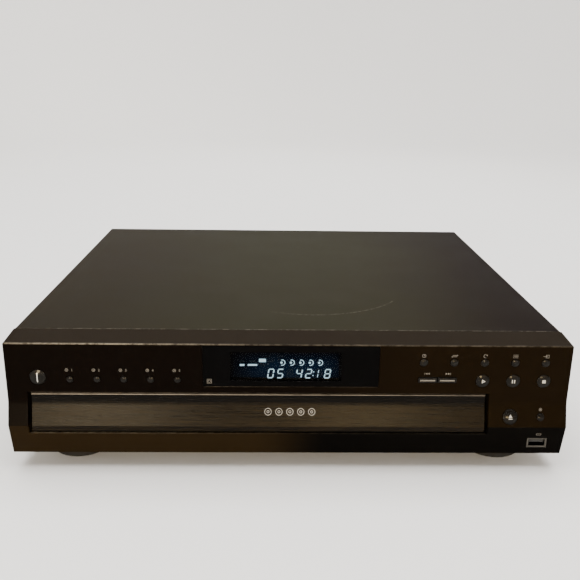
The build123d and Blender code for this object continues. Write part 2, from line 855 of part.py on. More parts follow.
# ======================================================================== rear sockets
block_stand = 1.0
line_out_places = [(line_out_x + side * line_out_pitch / 2, line_out_z) for side in (-1, 1)]
socket_base = back_panel_y + block_stand
socket_tip = depth / 2
with BuildPart() as line_out_block:
    with BuildSketch(upright(socket_base)):
        with Locations((line_out_x, line_out_z)):
            Rectangle(line_out_block_width - 2 * fit, line_out_block_height - 2 * fit)
    extrude(amount=line_out_block_depth + block_stand)
    with BuildSketch(upright(back_panel_y - sheet - fit)):
        with Locations((line_out_x, line_out_z)):
            Rectangle(line_out_block_width + 4, line_out_block_height + 4)
    extrude(amount=line_out_block_depth - sheet)
line_out_block.part.label = "line_out_block"
export_step(line_out_block.part, "parts/line_out_block.step")

with BuildPart() as line_out_shells:
    with BuildSketch(upright(socket_tip)):
        with Locations(*line_out_places):
            Circle(line_out_radius)
    extrude(amount=socket_tip - socket_base)
    with BuildSketch(upright(socket_tip)):
        with Locations(*line_out_places):
            wheel(line_out_radius - line_out_wall)
    extrude(amount=socket_tip - socket_base, mode=Mode.SUBTRACT)
line_out_shells.part.label = "line_out_shells"
export_step(line_out_shells.part, "parts/line_out_shells.step")

with BuildPart() as line_out_insulators:
    with BuildSketch(upright(socket_tip - 0.5)):
        with Locations(*line_out_places):
            wheel(line_out_radius - line_out_wall - 0.05)
    extrude(amount=socket_tip - 0.5 - socket_base)
    with BuildSketch(upright(socket_tip)):
        with Locations(*line_out_places):
            pin_hole(line_out_bore)
    extrude(amount=socket_tip - socket_base - 1, mode=Mode.SUBTRACT)
line_out_insulators.part.label = "line_out_insulators"
export_step(line_out_insulators.part, "parts/line_out_insulators.step")

shutter_y = back_panel_y + 0.2
shutter_height = optical_mouth_height - 0.3
shutter_pivot_z = optical_z + shutter_height / 2 - shutter_pin
with BuildPart() as optical_socket:
    with BuildSketch(upright(back_panel_y + block_stand)):
        with Locations((optical_x, optical_z)):
            Rectangle(optical_width - 2 * fit, optical_height - 2 * fit)
    extrude(amount=optical_depth + 2)
    with BuildSketch(upright(back_panel_y + block_stand)):
        with Locations((optical_x, optical_z)):
            Rectangle(optical_mouth_width, optical_mouth_height)
    extrude(amount=optical_depth, mode=Mode.SUBTRACT)
    # room above the flap for its turning edge
    with BuildSketch(upright(shutter_y + 0.3)):
        with Locations((optical_x, optical_z + optical_mouth_height / 2)):
            Rectangle(optical_mouth_width, 1.6)
    extrude(amount=3, mode=Mode.SUBTRACT)
    with BuildSketch(Plane.YZ.offset(optical_x)):
        with Locations((shutter_y - shutter_thickness / 2, shutter_pivot_z)):
            pin_hole(shutter_pin + running)
    extrude(amount=optical_mouth_width / 2 + 0.7, both=True, mode=Mode.SUBTRACT)
optical_socket.part.label = "optical_socket"
export_step(optical_socket.part, "parts/optical_socket.step")

with BuildPart() as optical_shutter:
    with BuildSketch(upright(shutter_y)):
        with Locations((optical_x, optical_z)):
            Rectangle(optical_mouth_width - 0.4, shutter_height)
    extrude(amount=shutter_thickness)
    with BuildSketch(Plane.YZ.offset(optical_x)):
        with Locations((shutter_y - shutter_thickness / 2, shutter_pivot_z)):
            pin(shutter_pin)
    extrude(amount=optical_mouth_width / 2 + 0.5, both=True)
optical_shutter.part.label = "optical_shutter"
export_step(optical_shutter.part, "parts/optical_shutter.step")

with BuildPart() as cord_gland:
    with BuildSketch(upright(back_panel_y)):
        with Locations((gland_x, gland_z)):
            wheel(gland_flange_radius)
    extrude(amount=-gland_flange, taper=gland_slope)
    with BuildSketch(upright(back_panel_y)):
        with Locations((gland_x, gland_z)):
            wheel(gland_radius - 0.1)
    extrude(amount=sheet + gland_inside)
    with BuildSketch(upright(back_panel_y + gland_flange)):
        with Locations((gland_x, gland_z)):
            Circle(gland_bore)
    extrude(amount=gland_flange + sheet + gland_inside, mode=Mode.SUBTRACT)
cord_gland.part.label = "cord_gland"
export_step(cord_gland.part, "parts/cord_gland.step")

# ======================================================================== power supply and main board
with BuildPart() as transformer_core:
    with BuildSketch(upright(transformer_y + core_depth / 2)):
        with Locations((transformer_x, floor + core_height / 2)):
            Rectangle(core_width, core_height)
            with GridLocations(core_width - 3 * core_limb, 0, 2, 1):
                Rectangle(core_limb, core_height - 2 * core_limb, mode=Mode.SUBTRACT)
    extrude(amount=core_depth)
transformer_core.part.label = "transformer_core"
export_step(transformer_core.part, "parts/transformer_core.step")

limb_width = core_width - 4 * core_limb
with BuildPart() as transformer_coil:
    with BuildSketch(Plane.XY.offset(floor + core_limb + fit)):
        with Locations((transformer_x, transformer_y)):
            Rectangle(limb_width + 2 * core_limb - 2 * fit, coil_depth)
            Rectangle(limb_width + 2 * fit, core_depth + 2 * fit, mode=Mode.SUBTRACT)
    extrude(amount=core_height - 2 * core_limb - 2 * fit)
transformer_coil.part.label = "transformer_coil"
export_step(transformer_coil.part, "parts/transformer_coil.step")

main_board_z = floor + main_board_rise
# places on the board: to the right of its middle, behind its front edge
capacitor_places = [(8.0, 170.0), (-10.0, 174.0)]
capacitor_radius = 8.0
capacitor_height = 25.0
chip_places = [(0.0, 120.0), (-6.0, 70.0)]
chip_size = 20.0
chip_height = 2.6
connector_place = (0.0, 12.0)
connector_width = 26.0
connector_length = 6.0
heat_sink_place = (14.0, 145.0)
heat_sink_length = 30.0
heat_sink_height = 22.0
heat_sink_wall = 3.0
fin_count = 5
fin_length = 12.0
with BuildPart() as main_board:
    with BuildSketch(Plane.XY.offset(main_board_z)):
        with Locations((main_board_x, main_board_front + main_board_length / 2)):
            Rectangle(main_board_width, main_board_length)
    extrude(amount=board)
    with BuildSketch(Plane.XY.offset(main_board_z + board)):
        with Locations((main_board_x, main_board_front)):
            with Locations(*capacitor_places):
                pin(capacitor_radius)
    extrude(amount=capacitor_height)
    with BuildSketch(Plane.XY.offset(main_board_z + board)):
        with Locations((main_board_x, main_board_front)):
            with Locations(*chip_places):
                Rectangle(chip_size, chip_size)
            with Locations(connector_place):
                Rectangle(connector_width, connector_length)
    extrude(amount=chip_height)
    with BuildSketch(Plane.XY.offset(main_board_z + board)):
        with Locations((main_board_x, main_board_front)):
            with Locations(heat_sink_place):
                Rectangle(heat_sink_wall, heat_sink_length)
                fin_pitch = (heat_sink_length - heat_sink_wall) / (fin_count - 1)
                with GridLocations(0, fin_pitch, 1, fin_count):
                    Rectangle(fin_length, heat_sink_wall)
    extrude(amount=heat_sink_height)
main_board.part.label = "main_board"
export_step(main_board.part, "parts/main_board.step")

# ======================================================================== loader frame
tray_gear_x = rack_x + rack_module * rack_pinion_teeth / 2
wheel_distance = wheel_module * (tray_wheel_teeth + pulley_pinion_teeth) / 2
pulley_x = tray_gear_x + wheel_distance
loading_motor_x = pulley_x + motor_distance
loader_length = loader_rear - loader_front
loader_y = (loader_front + loader_rear) / 2
ledge_z = tray_runner_z - fit - ledge_thickness
lip_z = tray_top_z + fit
post_top = tray_floor_z - 0.6
pickup_bay_front = play_y - 30
pickup_bay_rear = hinge_y - 10
pulley_z = deck_top + 9.5
# gaps in the deck: right of the drawer's middle, behind the crease, width, length
deck_windows = [
    (-110.0, 218.5, 70.0, 60.0),
    (-110.0, 308.5, 70.0, 60.0),
    (120.0, 258.5, 70.0, 60.0),
    (-80.0, 108.5, 120.0, 60.0),
]

with BuildPart() as loader_frame:
    with BuildSketch(Plane.XY.offset(deck_z)):
        with Locations((tray_x, loader_y)):
            Rectangle(2 * loader_outer, loader_length)
        with Locations((tray_x, (pickup_bay_front + pickup_bay_rear) / 2)):
            Rectangle(cutout_width + 4, pickup_bay_rear - pickup_bay_front, mode=Mode.SUBTRACT)
        for across, behind, window_wide, window_long in deck_windows:
            with Locations((tray_x + across, crease_y + behind)):
                Rectangle(window_wide, window_long, mode=Mode.SUBTRACT)
    extrude(amount=deck)
    # feet of the frame on the chassis floor
    with BuildSketch(Plane.XY.offset(floor)):
        with Locations((tray_x, loader_y)):
            with GridLocations(2 * loader_outer - 24, (loader_length - 24) / 2, 2, 3):
                Rectangle(12, 12)
    extrude(amount=deck_rise)
    for side in (-1, 1):
        wall_x = tray_x + side * (loader_inner + loader_wall / 2)
        edge_x = tray_x + side * loader_inner
        # side wall, raised under the bridge
        with BuildSketch(Plane.XY.offset(deck_z)):
            with Locations((wall_x, loader_y)):
                Rectangle(loader_wall, loader_length)
        extrude(amount=lip_z + 2 - deck_z)
        with BuildSketch(Plane.XY.offset(deck_z)):
            with Locations((wall_x, play_y)):
                Rectangle(loader_wall, bridge_width)
        extrude(amount=bridge_z - deck_z)
        # ledge under the drawer's runner and lip over its edge
        with BuildSketch(Plane.XY.offset(ledge_z)):
            with Locations((edge_x - side * ledge_width / 2, loader_y)):
                Rectangle(ledge_width, loader_length)
        extrude(amount=ledge_thickness)
        with BuildSketch(Plane.XY.offset(lip_z)):
            with Locations((edge_x - side * hold_down / 2, loader_front + hold_down_length / 2)):
                Rectangle(hold_down, hold_down_length)
        extrude(amount=2)
        # post of the pickup unit's hinge
        post_x = tray_x + side * (pickup_half_width + 2 + hinge_post / 2)
        with BuildSketch(Plane.XY.offset(deck_z)):
            with Locations((post_x, hinge_y)):
                Rectangle(hinge_post, 10)
        extrude(amount=hinge_z + 4 - deck_z)
    # rear wall
    with BuildSketch(Plane.XY.offset(deck_z)):
        with Locations((tray_x, loader_rear - loader_wall / 2)):
            Rectangle(2 * loader_outer, loader_wall)
    extrude(amount=hinge_z - deck_z)
    with BuildSketch(Plane.YZ.offset(tray_x)):
        with Locations((hinge_y, hinge_z)):
            pin_hole(hinge_pin_radius + running)
    extrude(amount=loader_inner - 1, both=True, mode=Mode.SUBTRACT)
    # pins of the loading gears
    with BuildSketch(Plane.XY.offset(deck_z)):
        with Locations((tray_gear_x, tray_gear_y)):
            pin(post_radius)
    extrude(amount=post_top - deck_z)
    with BuildSketch(Plane.XY.offset(deck_z)):
        with Locations((pulley_x, tray_gear_y)):
            pin(post_radius)
    extrude(amount=pulley_z + pulley_thickness - deck_z)
loader_frame.part.label = "loader_frame"
export_step(loader_frame.part, "parts/loader_frame.step")

# ======================================================================== loading drive
wheel_z = deck_top + 1
pinion_z = tray_runner_z + 0.3
pinion_height = tray_floor_z - fit - pinion_z
rack_pitch = pi * rack_module
rack_start = rack_front + rack_pitch / 2
teeth_to_gear = (tray_gear_y - rack_start) / rack_pitch
rack_phase = teeth_to_gear - int(teeth_to_gear)   # where the gear's axis falls in a rack tooth
pinion_turn = 180 + (0.5 + rack_phase) * 360 / rack_pinion_teeth
with BuildPart() as tray_gear:
    extrude(
        gear_outline(Plane((tray_gear_x, tray_gear_y, wheel_z)), tray_wheel_teeth, wheel_module),
        amount=gear_level,
    )
    with BuildSketch(Plane.XY.offset(wheel_z)):
        with Locations((tray_gear_x, tray_gear_y)):
            pin(post_radius + 3)
    extrude(amount=pinion_z - wheel_z)
    pinion_plane = Plane((tray_gear_x, tray_gear_y, pinion_z))
    extrude(
        gear_outline(pinion_plane, rack_pinion_teeth, rack_module, pinion_turn),
        amount=pinion_height,
    )
    with BuildSketch(Plane.XY.offset(wheel_z)):
        with Locations((tray_gear_x, tray_gear_y)):
            pin_hole(post_radius + running)
    extrude(amount=pinion_z + pinion_height - wheel_z, mode=Mode.SUBTRACT)
tray_gear.part.label = "tray_gear"
export_step(tray_gear.part, "parts/tray_gear.step")

with BuildPart() as drive_pulley:
    with BuildSketch(Plane.XY.offset(pulley_z)):
        with Locations((pulley_x, tray_gear_y)):
            wheel(big_pulley_radius)
    extrude(amount=pulley_thickness)
    pinion_plane = Plane((pulley_x, tray_gear_y, wheel_z))
    pulley_turn = 180 + 180 / pulley_pinion_teeth
    extrude(
        gear_outline(pinion_plane, pulley_pinion_teeth, wheel_module, pulley_turn),
        amount=pulley_z - wheel_z,
    )
    with BuildSketch(Plane.XY.offset(wheel_z)):
        with Locations((pulley_x, tray_gear_y)):
            pin_hole(post_radius + running)
    extrude(amount=pulley_z + pulley_thickness - wheel_z, mode=Mode.SUBTRACT)
drive_pulley.part.label = "drive_pulley"
export_step(drive_pulley.part, "parts/drive_pulley.step")

with BuildPart() as loading_motor:
    with BuildSketch(Plane.XY.offset(deck_top)):
        with Locations((loading_motor_x, tray_gear_y)):
            wheel(motor_radius)
    extrude(amount=motor_height)
loading_motor.part.label = "loading_motor"
export_step(loading_motor.part, "parts/loading_motor.step")

with BuildPart() as motor_pulley:
    with BuildSketch(Plane.XY.offset(pulley_z)):
        with Locations((loading_motor_x, tray_gear_y)):
            wheel(small_pulley_radius)
    extrude(amount=pulley_thickness)
    with BuildSketch(Plane.XY.offset(deck_top + motor_height + fit)):
        with Locations((loading_motor_x, tray_gear_y)):
            pin(spindle_radius)
    extrude(amount=pulley_z - deck_top - motor_height - fit)
motor_pulley.part.label = "motor_pulley"
export_step(motor_pulley.part, "parts/motor_pulley.step")


def belt_loop(growth):
    """The belt's outline round both pulleys, grown outwards from their rims."""
    with BuildSketch(Plane.XY.offset(pulley_z + (pulley_thickness - belt_width) / 2)) as loop:
        with Locations((pulley_x, tray_gear_y)):
            wheel(big_pulley_radius + growth)
        with Locations((loading_motor_x, tray_gear_y)):
            wheel(small_pulley_radius + growth)
        make_hull()
    return loop.sketch


with BuildPart() as drive_belt:
    extrude(belt_loop(belt_play + belt_thickness), amount=belt_width)
    extrude(belt_loop(belt_play), amount=belt_width, mode=Mode.SUBTRACT)
drive_belt.part.label = "drive_belt"
export_step(drive_belt.part, "parts/drive_belt.step")

# ======================================================================== disc clamp and its bridge
clamp_hole = clamp_neck_radius + clamp_play
with BuildPart() as chucking_bracket:
    with BuildSketch(Plane.XY.offset(bridge_z)):
        with Locations((tray_x, play_y)):
            Rectangle(2 * loader_outer, bridge_width)
            RegularPolygon(clamp_hole, wheel_sides, major_radius=False, mode=Mode.SUBTRACT)
            with GridLocations(190, 0, 2, 1):
                Rectangle(80, 12, mode=Mode.SUBTRACT)
    extrude(amount=bridge_sheet)
    with BuildSketch(Plane.XY.offset(bridge_z + bridge_sheet)):
        with Locations((tray_x, play_y)):
            with GridLocations(0, bridge_width - bridge_sheet, 1, 2):
                Rectangle(2 * loader_outer - 30, bridge_sheet)
    extrude(amount=bridge_flange)
chucking_bracket.part.label = "chucking_bracket"
export_step(chucking_bracket.part, "parts/chucking_bracket.step")

cap_z = bridge_z + bridge_sheet + fit
clamp_recess_radius = hub_cone_radius + 0.3
clamp_recess = 4.0
with BuildPart() as chucking_pulley:
    with BuildSketch(Plane.XY.offset(clamp_z)):
        with Locations((tray_x, play_y)):
            wheel(clamp_radius)
    extrude(amount=clamp_thickness)
    with BuildSketch(Plane.XY.offset(clamp_z)):
        with Locations((tray_x, play_y)):
            wheel(clamp_neck_radius)
    extrude(amount=cap_z + clamp_cap - clamp_z)
    with BuildSketch(Plane.XY.offset(clamp_z)):
        with Locations((tray_x, play_y)):
            pin_hole(clamp_recess_radius)
    extrude(amount=clamp_recess, mode=Mode.SUBTRACT)
    # three arms that hang on the bridge
    with BuildSketch(Plane.XY.offset(cap_z)):
        with Locations((tray_x, play_y)):
            with PolarLocations(clamp_cap_radius / 2, 3):
                Rectangle(clamp_cap_radius, clamp_cap_radius / 2)
    extrude(amount=clamp_cap)
chucking_pulley.part.label = "chucking_pulley"
export_step(chucking_pulley.part, "parts/chucking_pulley.step")

# ======================================================================== drawer
ring_pitch = ring_module * ring_teeth / 2
drive_distance = ring_pitch + ring_module * drive_teeth / 2
drive_x = tray_x + drive_distance * cos(radians(drive_angle))
drive_y = carousel_y + drive_distance * sin(radians(drive_angle))
carousel_motor_distance = wheel_module * (drive_wheel_teeth + motor_pinion_teeth) / 2
carousel_motor_x = drive_x - carousel_motor_distance
carousel_motor_radius = 10.0
carousel_motor_z = tray_runner_z + 0.3
drive_wheel_z = tray_floor_top + 3.6
ring_bottom = carousel_bottom - ring_gear_height
drive_pinion_top = carousel_bottom - fit
tray_length = tray_rear - tray_front_y
tray_y = (tray_rear + tray_front_y) / 2


def tray_outline(inset=0.0):
    """The drawer seen from above, rounded at the back."""
    with BuildSketch(Plane.XY.offset(tray_runner_z)) as outline:
        with Locations((tray_x, tray_y)):
            Rectangle(tray_width, tray_length)
        fillet(outline.vertices().group_by(Axis.Y)[-1], tray_rear_radius)
        if inset:
            offset(amount=-inset)
            with Locations((tray_x, carousel_y)):
                Circle(pocket_radius + inset, mode=Mode.SUBTRACT)
    return outline.sketch


with BuildPart() as disc_tray:
    extrude(tray_outline(), amount=tray_top_z - tray_runner_z)
    # round pocket of the carousel
    with BuildSketch(Plane.XY.offset(tray_floor_top)):
        with Locations((tray_x, carousel_y)):
            Circle(pocket_radius)
    extrude(amount=tray_top_z - tray_floor_top, mode=Mode.SUBTRACT)
    # corners hollow from below, and the underside open between the runners
    extrude(tray_outline(tray_rim), amount=tray_top_z - tray_rim - tray_runner_z, mode=Mode.SUBTRACT)
    with BuildSketch(Plane.XY.offset(tray_runner_z)):
        with Locations((tray_x, tray_y + tray_rim)):
            Rectangle(2 * pocket_radius, tray_length)
    extrude(amount=tray_floor_rise, mode=Mode.SUBTRACT)
    # pads under the carousel
    with BuildSketch(Plane.XY.offset(tray_floor_top)):
        with Locations((tray_x, carousel_y)):
            with PolarLocations(carousel_pad_radius, carousel_pad_count):
                Rectangle(carousel_pad_width, carousel_pad_length)
    extrude(amount=carousel_bottom - fit - tray_floor_top)
    # gap over the pickup unit, open at the back
    with BuildSketch(Plane.XY.offset(tray_runner_z)):
        with Locations((tray_x, (carousel_y + cutout_reach + tray_rear + 1) / 2)):
            Rectangle(cutout_width, tray_rear + 1 - carousel_y - cutout_reach)
    extrude(amount=tray_top_z - tray_runner_z, mode=Mode.SUBTRACT)
    # hole for the carousel's motor
    with BuildSketch(Plane.XY.offset(tray_runner_z)):
        with Locations((carousel_motor_x, drive_y)):
            RegularPolygon(carousel_motor_radius + fit, wheel_sides, major_radius=False)
    extrude(amount=tray_floor_top - tray_runner_z, mode=Mode.SUBTRACT)
    # pins of the carousel and its drive gear
    with BuildSketch(Plane.XY.offset(tray_floor_z)):
        with Locations((tray_x, carousel_y)):
            pin(carousel_post_radius)
    extrude(amount=tray_top_z - 1 - tray_floor_z)
    with BuildSketch(Plane.XY.offset(tray_floor_z)):
        with Locations((drive_x, drive_y)):
            pin(post_radius)
    extrude(amount=drive_pinion_top - tray_floor_z)
    # rack
    rack_plane = Plane.XY.offset(tray_runner_z)
    extrude(
        rack_outline(rack_plane, rack_x, rack_start, rack_length, rack_back, rack_module),
        amount=tray_floor_rise,
    )
disc_tray.part.label = "disc_tray"
export_step(disc_tray.part, "parts/disc_tray.step")

tray_rib_count = 6
with BuildPart() as tray_front:
    extrude(front_outline(), amount=width / 2, both=True)
    with BuildSketch(Plane.XZ.offset(-tray_front_y)):
        with Locations((tray_x, (tray_front_top + tray_front_bottom) / 2)):
            Rectangle(tray_front_width, tray_front_top - tray_front_bottom)
    extrude(amount=crease_stand + tray_front_skin + 1, mode=Mode.INTERSECT)
    chamfer(tray_front.faces().filter_by(Axis.X).edges().sort_by(Axis.Y)[:-2], 0.5)
    # pockets between the ribs behind the skin
    rib_pitch = (tray_front_width - 2 * wall) / tray_rib_count
    with BuildSketch(Plane.XZ.offset(-tray_front_y)):
        with Locations((tray_x, (tray_front_top + tray_front_bottom) / 2)):
            with GridLocations(rib_pitch, 0, tray_rib_count, 1):
                Rectangle(rib_pitch - 2, tray_front_top - tray_front_bottom - 2 * wall)
    pocket = extrude(amount=crease_stand + tray_front_skin, mode=Mode.PRIVATE)
    skin = extrude(front_outline(wall), amount=width / 2, both=True, mode=Mode.PRIVATE)
    add(pocket & skin, mode=Mode.SUBTRACT)
tray_front.part.label = "tray_front"
export_step(tray_front.part, "parts/tray_front.step")

# ======================================================================== carousel
with BuildPart() as carousel:
    with BuildSketch(Plane.XY.offset(carousel_bottom)):
        with Locations((tray_x, carousel_y)):
            Circle(carousel_radius)
    extrude(amount=carousel_thickness)
    # wells for full-size discs, with a smaller step inside
    with BuildSketch(Plane.XY.offset(tray_top_z - well_depth)):
        with Locations((tray_x, carousel_y)):
            with PolarLocations(disc_circle, disc_count, start_angle=90):
                Circle(well_radius)
    extrude(amount=well_depth, mode=Mode.SUBTRACT)
    with BuildSketch(Plane.XY.offset(tray_top_z - well_depth - small_well_depth)):
        with Locations((tray_x, carousel_y)):
            with PolarLocations(disc_circle, disc_count, start_angle=90):
                Circle(small_well_radius)
    extrude(amount=small_well_depth, mode=Mode.SUBTRACT)
    # slots from each disc's middle out through the rim
    with BuildSketch(Plane.XY.offset(carousel_bottom)):
        with Locations((tray_x, carousel_y)):
            with PolarLocations(disc_circle, disc_count, start_angle=90):
                Circle(slot_width / 2)
            with PolarLocations((disc_circle + carousel_radius) / 2, disc_count, start_angle=90):
                Rectangle(carousel_radius - disc_circle + 4, slot_width)
    extrude(amount=carousel_thickness, mode=Mode.SUBTRACT)
    # boss over the post
    with BuildSketch(Plane.XY.offset(tray_top_z)):
        with Locations((tray_x, carousel_y)):
            Circle(carousel_boss_radius)
    extrude(amount=carousel_boss_height)
    # toothed ring and sleeve below
    ring_plane = Plane((tray_x, carousel_y, ring_bottom))
    extrude(gear_outline(ring_plane, ring_teeth, ring_module), amount=ring_gear_height)
    with BuildSketch(Plane.XY.offset(ring_bottom)):
        with Locations((tray_x, carousel_y)):
            wheel(ring_pitch - dedendum * ring_module - ring_gear_wall)
    extrude(amount=ring_gear_height, mode=Mode.SUBTRACT)
    with BuildSketch(Plane.XY.offset(tray_floor_top + fit)):
        with Locations((tray_x, carousel_y)):
            pin(carousel_post_radius + running + carousel_sleeve_wall)
    extrude(amount=carousel_bottom - tray_floor_top - fit)
    with BuildSketch(Plane.XY.offset(tray_floor_top + fit)):
        with Locations((tray_x, carousel_y)):
            pin_hole(carousel_post_radius + running)
    extrude(amount=tray_top_z - 1 - tray_floor_top, mode=Mode.SUBTRACT)
carousel.part.label = "carousel"
export_step(carousel.part, "parts/carousel.step")

# the drive gear's small wheel meshes with the ring: a gap of it faces a tooth of the ring
ring_step = 360 / ring_teeth
ring_offset = (drive_angle / ring_step) % 1       # where the line of centres falls in a ring tooth
drive_turn = drive_angle + 180 + (0.5 + ring_offset) * 360 / drive_teeth
drive_pinion_z = ring_bottom + 0.2
with BuildPart() as carousel_drive_gear:
    extrude(
        gear_outline(Plane((drive_x, drive_y, drive_wheel_z)), drive_wheel_teeth, wheel_module),
        amount=gear_level,
    )
    extrude(
        gear_outline(Plane((drive_x, drive_y, drive_wheel_z)), drive_teeth, ring_module, drive_turn),
        amount=drive_pinion_top - drive_wheel_z,
    )
    with BuildSketch(Plane.XY.offset(tray_floor_top + fit)):
        with Locations((drive_x, drive_y)):
            pin(post_radius + 3)
    extrude(amount=drive_wheel_z - tray_floor_top - fit)
    with BuildSketch(Plane.XY.offset(tray_floor_top + fit)):
        with Locations((drive_x, drive_y)):
            pin_hole(post_radius + running)
    extrude(amount=drive_pinion_top - tray_floor_top - fit, mode=Mode.SUBTRACT)
carousel_drive_gear.part.label = "carousel_drive_gear"
export_step(carousel_drive_gear.part, "parts/carousel_drive_gear.step")

carousel_motor_top = drive_wheel_z - 0.5
with BuildPart() as carousel_motor:
    with BuildSketch(Plane.XY.offset(carousel_motor_z)):
        with Locations((carousel_motor_x, drive_y)):
            wheel(carousel_motor_radius)
    extrude(amount=carousel_motor_top - carousel_motor_z)
carousel_motor.part.label = "carousel_motor"
export_step(carousel_motor.part, "parts/carousel_motor.step")

with BuildPart() as carousel_motor_pinion:
    pinion_plane = Plane((carousel_motor_x, drive_y, drive_wheel_z))
    extrude(
        gear_outline(pinion_plane, motor_pinion_teeth, wheel_module, 180 / motor_pinion_teeth),
        amount=gear_level,
    )
    with BuildSketch(Plane.XY.offset(carousel_motor_top + 0.2)):
        with Locations((carousel_motor_x, drive_y)):
            pin(spindle_radius)
    extrude(amount=drive_wheel_z - carousel_motor_top - 0.2)
carousel_motor_pinion.part.label = "carousel_motor_pinion"
export_step(carousel_motor_pinion.part, "parts/carousel_motor_pinion.step")

# ======================================================================== pickup unit
lift = radians(lift_angle)
unit = Plane((tray_x, hinge_y, hinge_z), x_dir=(1, 0, 0), z_dir=(0, -sin(lift), cos(lift)))
unit_side = Plane(unit.origin, x_dir=unit.y_dir, z_dir=unit.x_dir)    # drawn in the unit's y and z
unit_front = Plane(unit.origin, x_dir=unit.x_dir, z_dir=-unit.y_dir)  # drawn in its x and z
plate_top = pickup_plate_z + pickup_plate
pickup_length = pickup_rear - pickup_front
pickup_middle = (pickup_rear + pickup_front) / 2
front_cross_y = spindle_y + spindle_motor_radius + 0.3
rear_cross_y = sled_front + sled_length + sled_travel + 1.5
cross = 1.5
shelf_z = -5.0
sled_gear_radius = sled_rack_module * sled_gear_teeth / 2
sled_gear_x = sled_rack_x + sled_gear_radius
rod_front = front_cross_y + 0.2
rod_rear = rear_cross_y + cross - 0.2

with BuildPart() as pickup_frame:
    with BuildSketch(unit.offset(pickup_plate_z)):
        with Locations((0, pickup_middle)):
            Rectangle(2 * pickup_half_width, pickup_length)
        with Locations((0, spindle_y)):
            pin_hole(hub_stem_radius + 1, mode=Mode.SUBTRACT)
        opening_front = front_cross_y + cross
        with Locations((0, (opening_front + rear_cross_y) / 2)):
            Rectangle(lens_block + 6, rear_cross_y - opening_front, mode=Mode.SUBTRACT)
    extrude(amount=pickup_plate)
    # skirt
    with BuildSketch(unit.offset(pickup_skirt_z)):
        with Locations((0, pickup_middle)):
            Rectangle(2 * pickup_half_width, pickup_length)
            Rectangle(
                2 * (pickup_half_width - pickup_wall),
                pickup_length - 2 * pickup_wall,
                mode=Mode.SUBTRACT,
            )
        # cross walls that hold the rods
        with Locations((0, front_cross_y + cross / 2), (0, rear_cross_y + cross / 2)):
            Rectangle(2 * (rod_x + rod_radius + 1), cross)
    extrude(amount=pickup_plate_z - pickup_skirt_z)
    with BuildSketch(unit_front.offset(-rod_rear)):
        with Locations((-rod_x, (rod_radius + pickup_skirt_z) / 2), (rod_x, (rod_radius + pickup_skirt_z) / 2)):
            Rectangle(2 * (rod_radius + running), rod_radius - pickup_skirt_z + 2 * running)
    extrude(amount=rod_rear - rod_front, mode=Mode.SUBTRACT)
    # shelf of the sled's motor
    shelf_x = (sled_gear_x - 4 + pickup_half_width) / 2
    with BuildSketch(unit.offset(shelf_z)):
        with Locations((shelf_x, sled_gear_y)):
            Rectangle(pickup_half_width - sled_gear_x + 4, 14)
        with Locations((sled_gear_x, sled_gear_y)):
            pin_hole(spindle_radius + running, mode=Mode.SUBTRACT)
    extrude(amount=1.4)
    # hinge pins
    with BuildSketch(unit_side.offset(-pickup_half_width - 2 - hinge_post + 0.3)):
        pin(hinge_pin_radius)
    extrude(amount=hinge_post + 2.3)
    with BuildSketch(unit_side.offset(pickup_half_width - 0.6)):
        pin(hinge_pin_radius)
    extrude(amount=hinge_post + 2.3)
pickup_frame.part.label = "pickup_frame"
export_step(pickup_frame.part, "parts/pickup_frame.step")

with BuildPart() as spindle_motor:
    with BuildSketch(unit.offset(pickup_plate_z - 0.2 - spindle_motor_height)):
        with Locations((0, spindle_y)):
            wheel(spindle_motor_radius)
    extrude(amount=spindle_motor_height)
spindle_motor.part.label = "spindle_motor"
export_step(spindle_motor.part, "parts/spindle_motor.step")

with BuildPart() as spindle_hub:
    with BuildSketch(unit.offset(pickup_plate_z - 0.1)):
        with Locations((0, spindle_y)):
            pin(hub_stem_radius)
    extrude(amount=hub_seat_z - pickup_plate_z + 0.1)
    with BuildSketch(unit.offset(hub_seat_z - hub_thickness)):
        with Locations((0, spindle_y)):
            wheel(hub_radius)
    extrude(amount=hub_thickness)
    with BuildSketch(unit.offset(hub_seat_z)):
        with Locations((0, spindle_y)):
            wheel(hub_cone_radius)
    extrude(amount=hub_cone_height, taper=25)
spindle_hub.part.label = "spindle_hub"
export_step(spindle_hub.part, "parts/spindle_hub.step")

with BuildPart() as guide_rods:
    with BuildSketch(unit_front.offset(-rod_rear)):
        with Locations((-rod_x, 0), (rod_x, 0)):
            pin(rod_radius)
    extrude(amount=rod_rear - rod_front)
guide_rods.part.label = "guide_rods"
export_step(guide_rods.part, "parts/guide_rods.step")

sled_half = rod_x + rod_radius + 1.4
sled_rack_front = -88.0
sled_rack_length = 38.5
sled_rack_pitch = pi * sled_rack_module
sled_rack_start = sled_rack_front + sled_rack_pitch / 2
lens_y = spindle_y + lens_radius
with BuildPart() as pickup_sled:
    with BuildSketch(unit.offset(-sled_height / 2)):
        with Locations((0, sled_front + sled_length / 2)):
            Rectangle(2 * sled_half, sled_length)
    extrude(amount=sled_height)
    with BuildSketch(unit.offset(sled_height / 2)):
        with Locations((0, lens_y)):
            Rectangle(lens_block, lens_block - 4)
    extrude(amount=lens_top_z - 2 - sled_height / 2)
    with BuildSketch(unit.offset(sled_height / 2)):
        with Locations((0, lens_y)):
            pin(lens_opening_radius + 1)
    extrude(amount=lens_top_z - sled_height / 2)
    with BuildSketch(unit_front.offset(-sled_front - sled_length)):
        with Locations((-rod_x, 0), (rod_x, 0)):
            pin_hole(rod_radius + running)
    extrude(amount=sled_length, mode=Mode.SUBTRACT)
    extrude(
        rack_outline(
            unit.offset(-sled_height / 2),
            sled_rack_x,
            sled_rack_start,
            sled_rack_length,
            sled_rack_x - dedendum * sled_rack_module - sled_half + 0.2,
            sled_rack_module,
        ),
        amount=3,
    )
pickup_sled.part.label = "pickup_sled"
export_step(pickup_sled.part, "parts/pickup_sled.step")

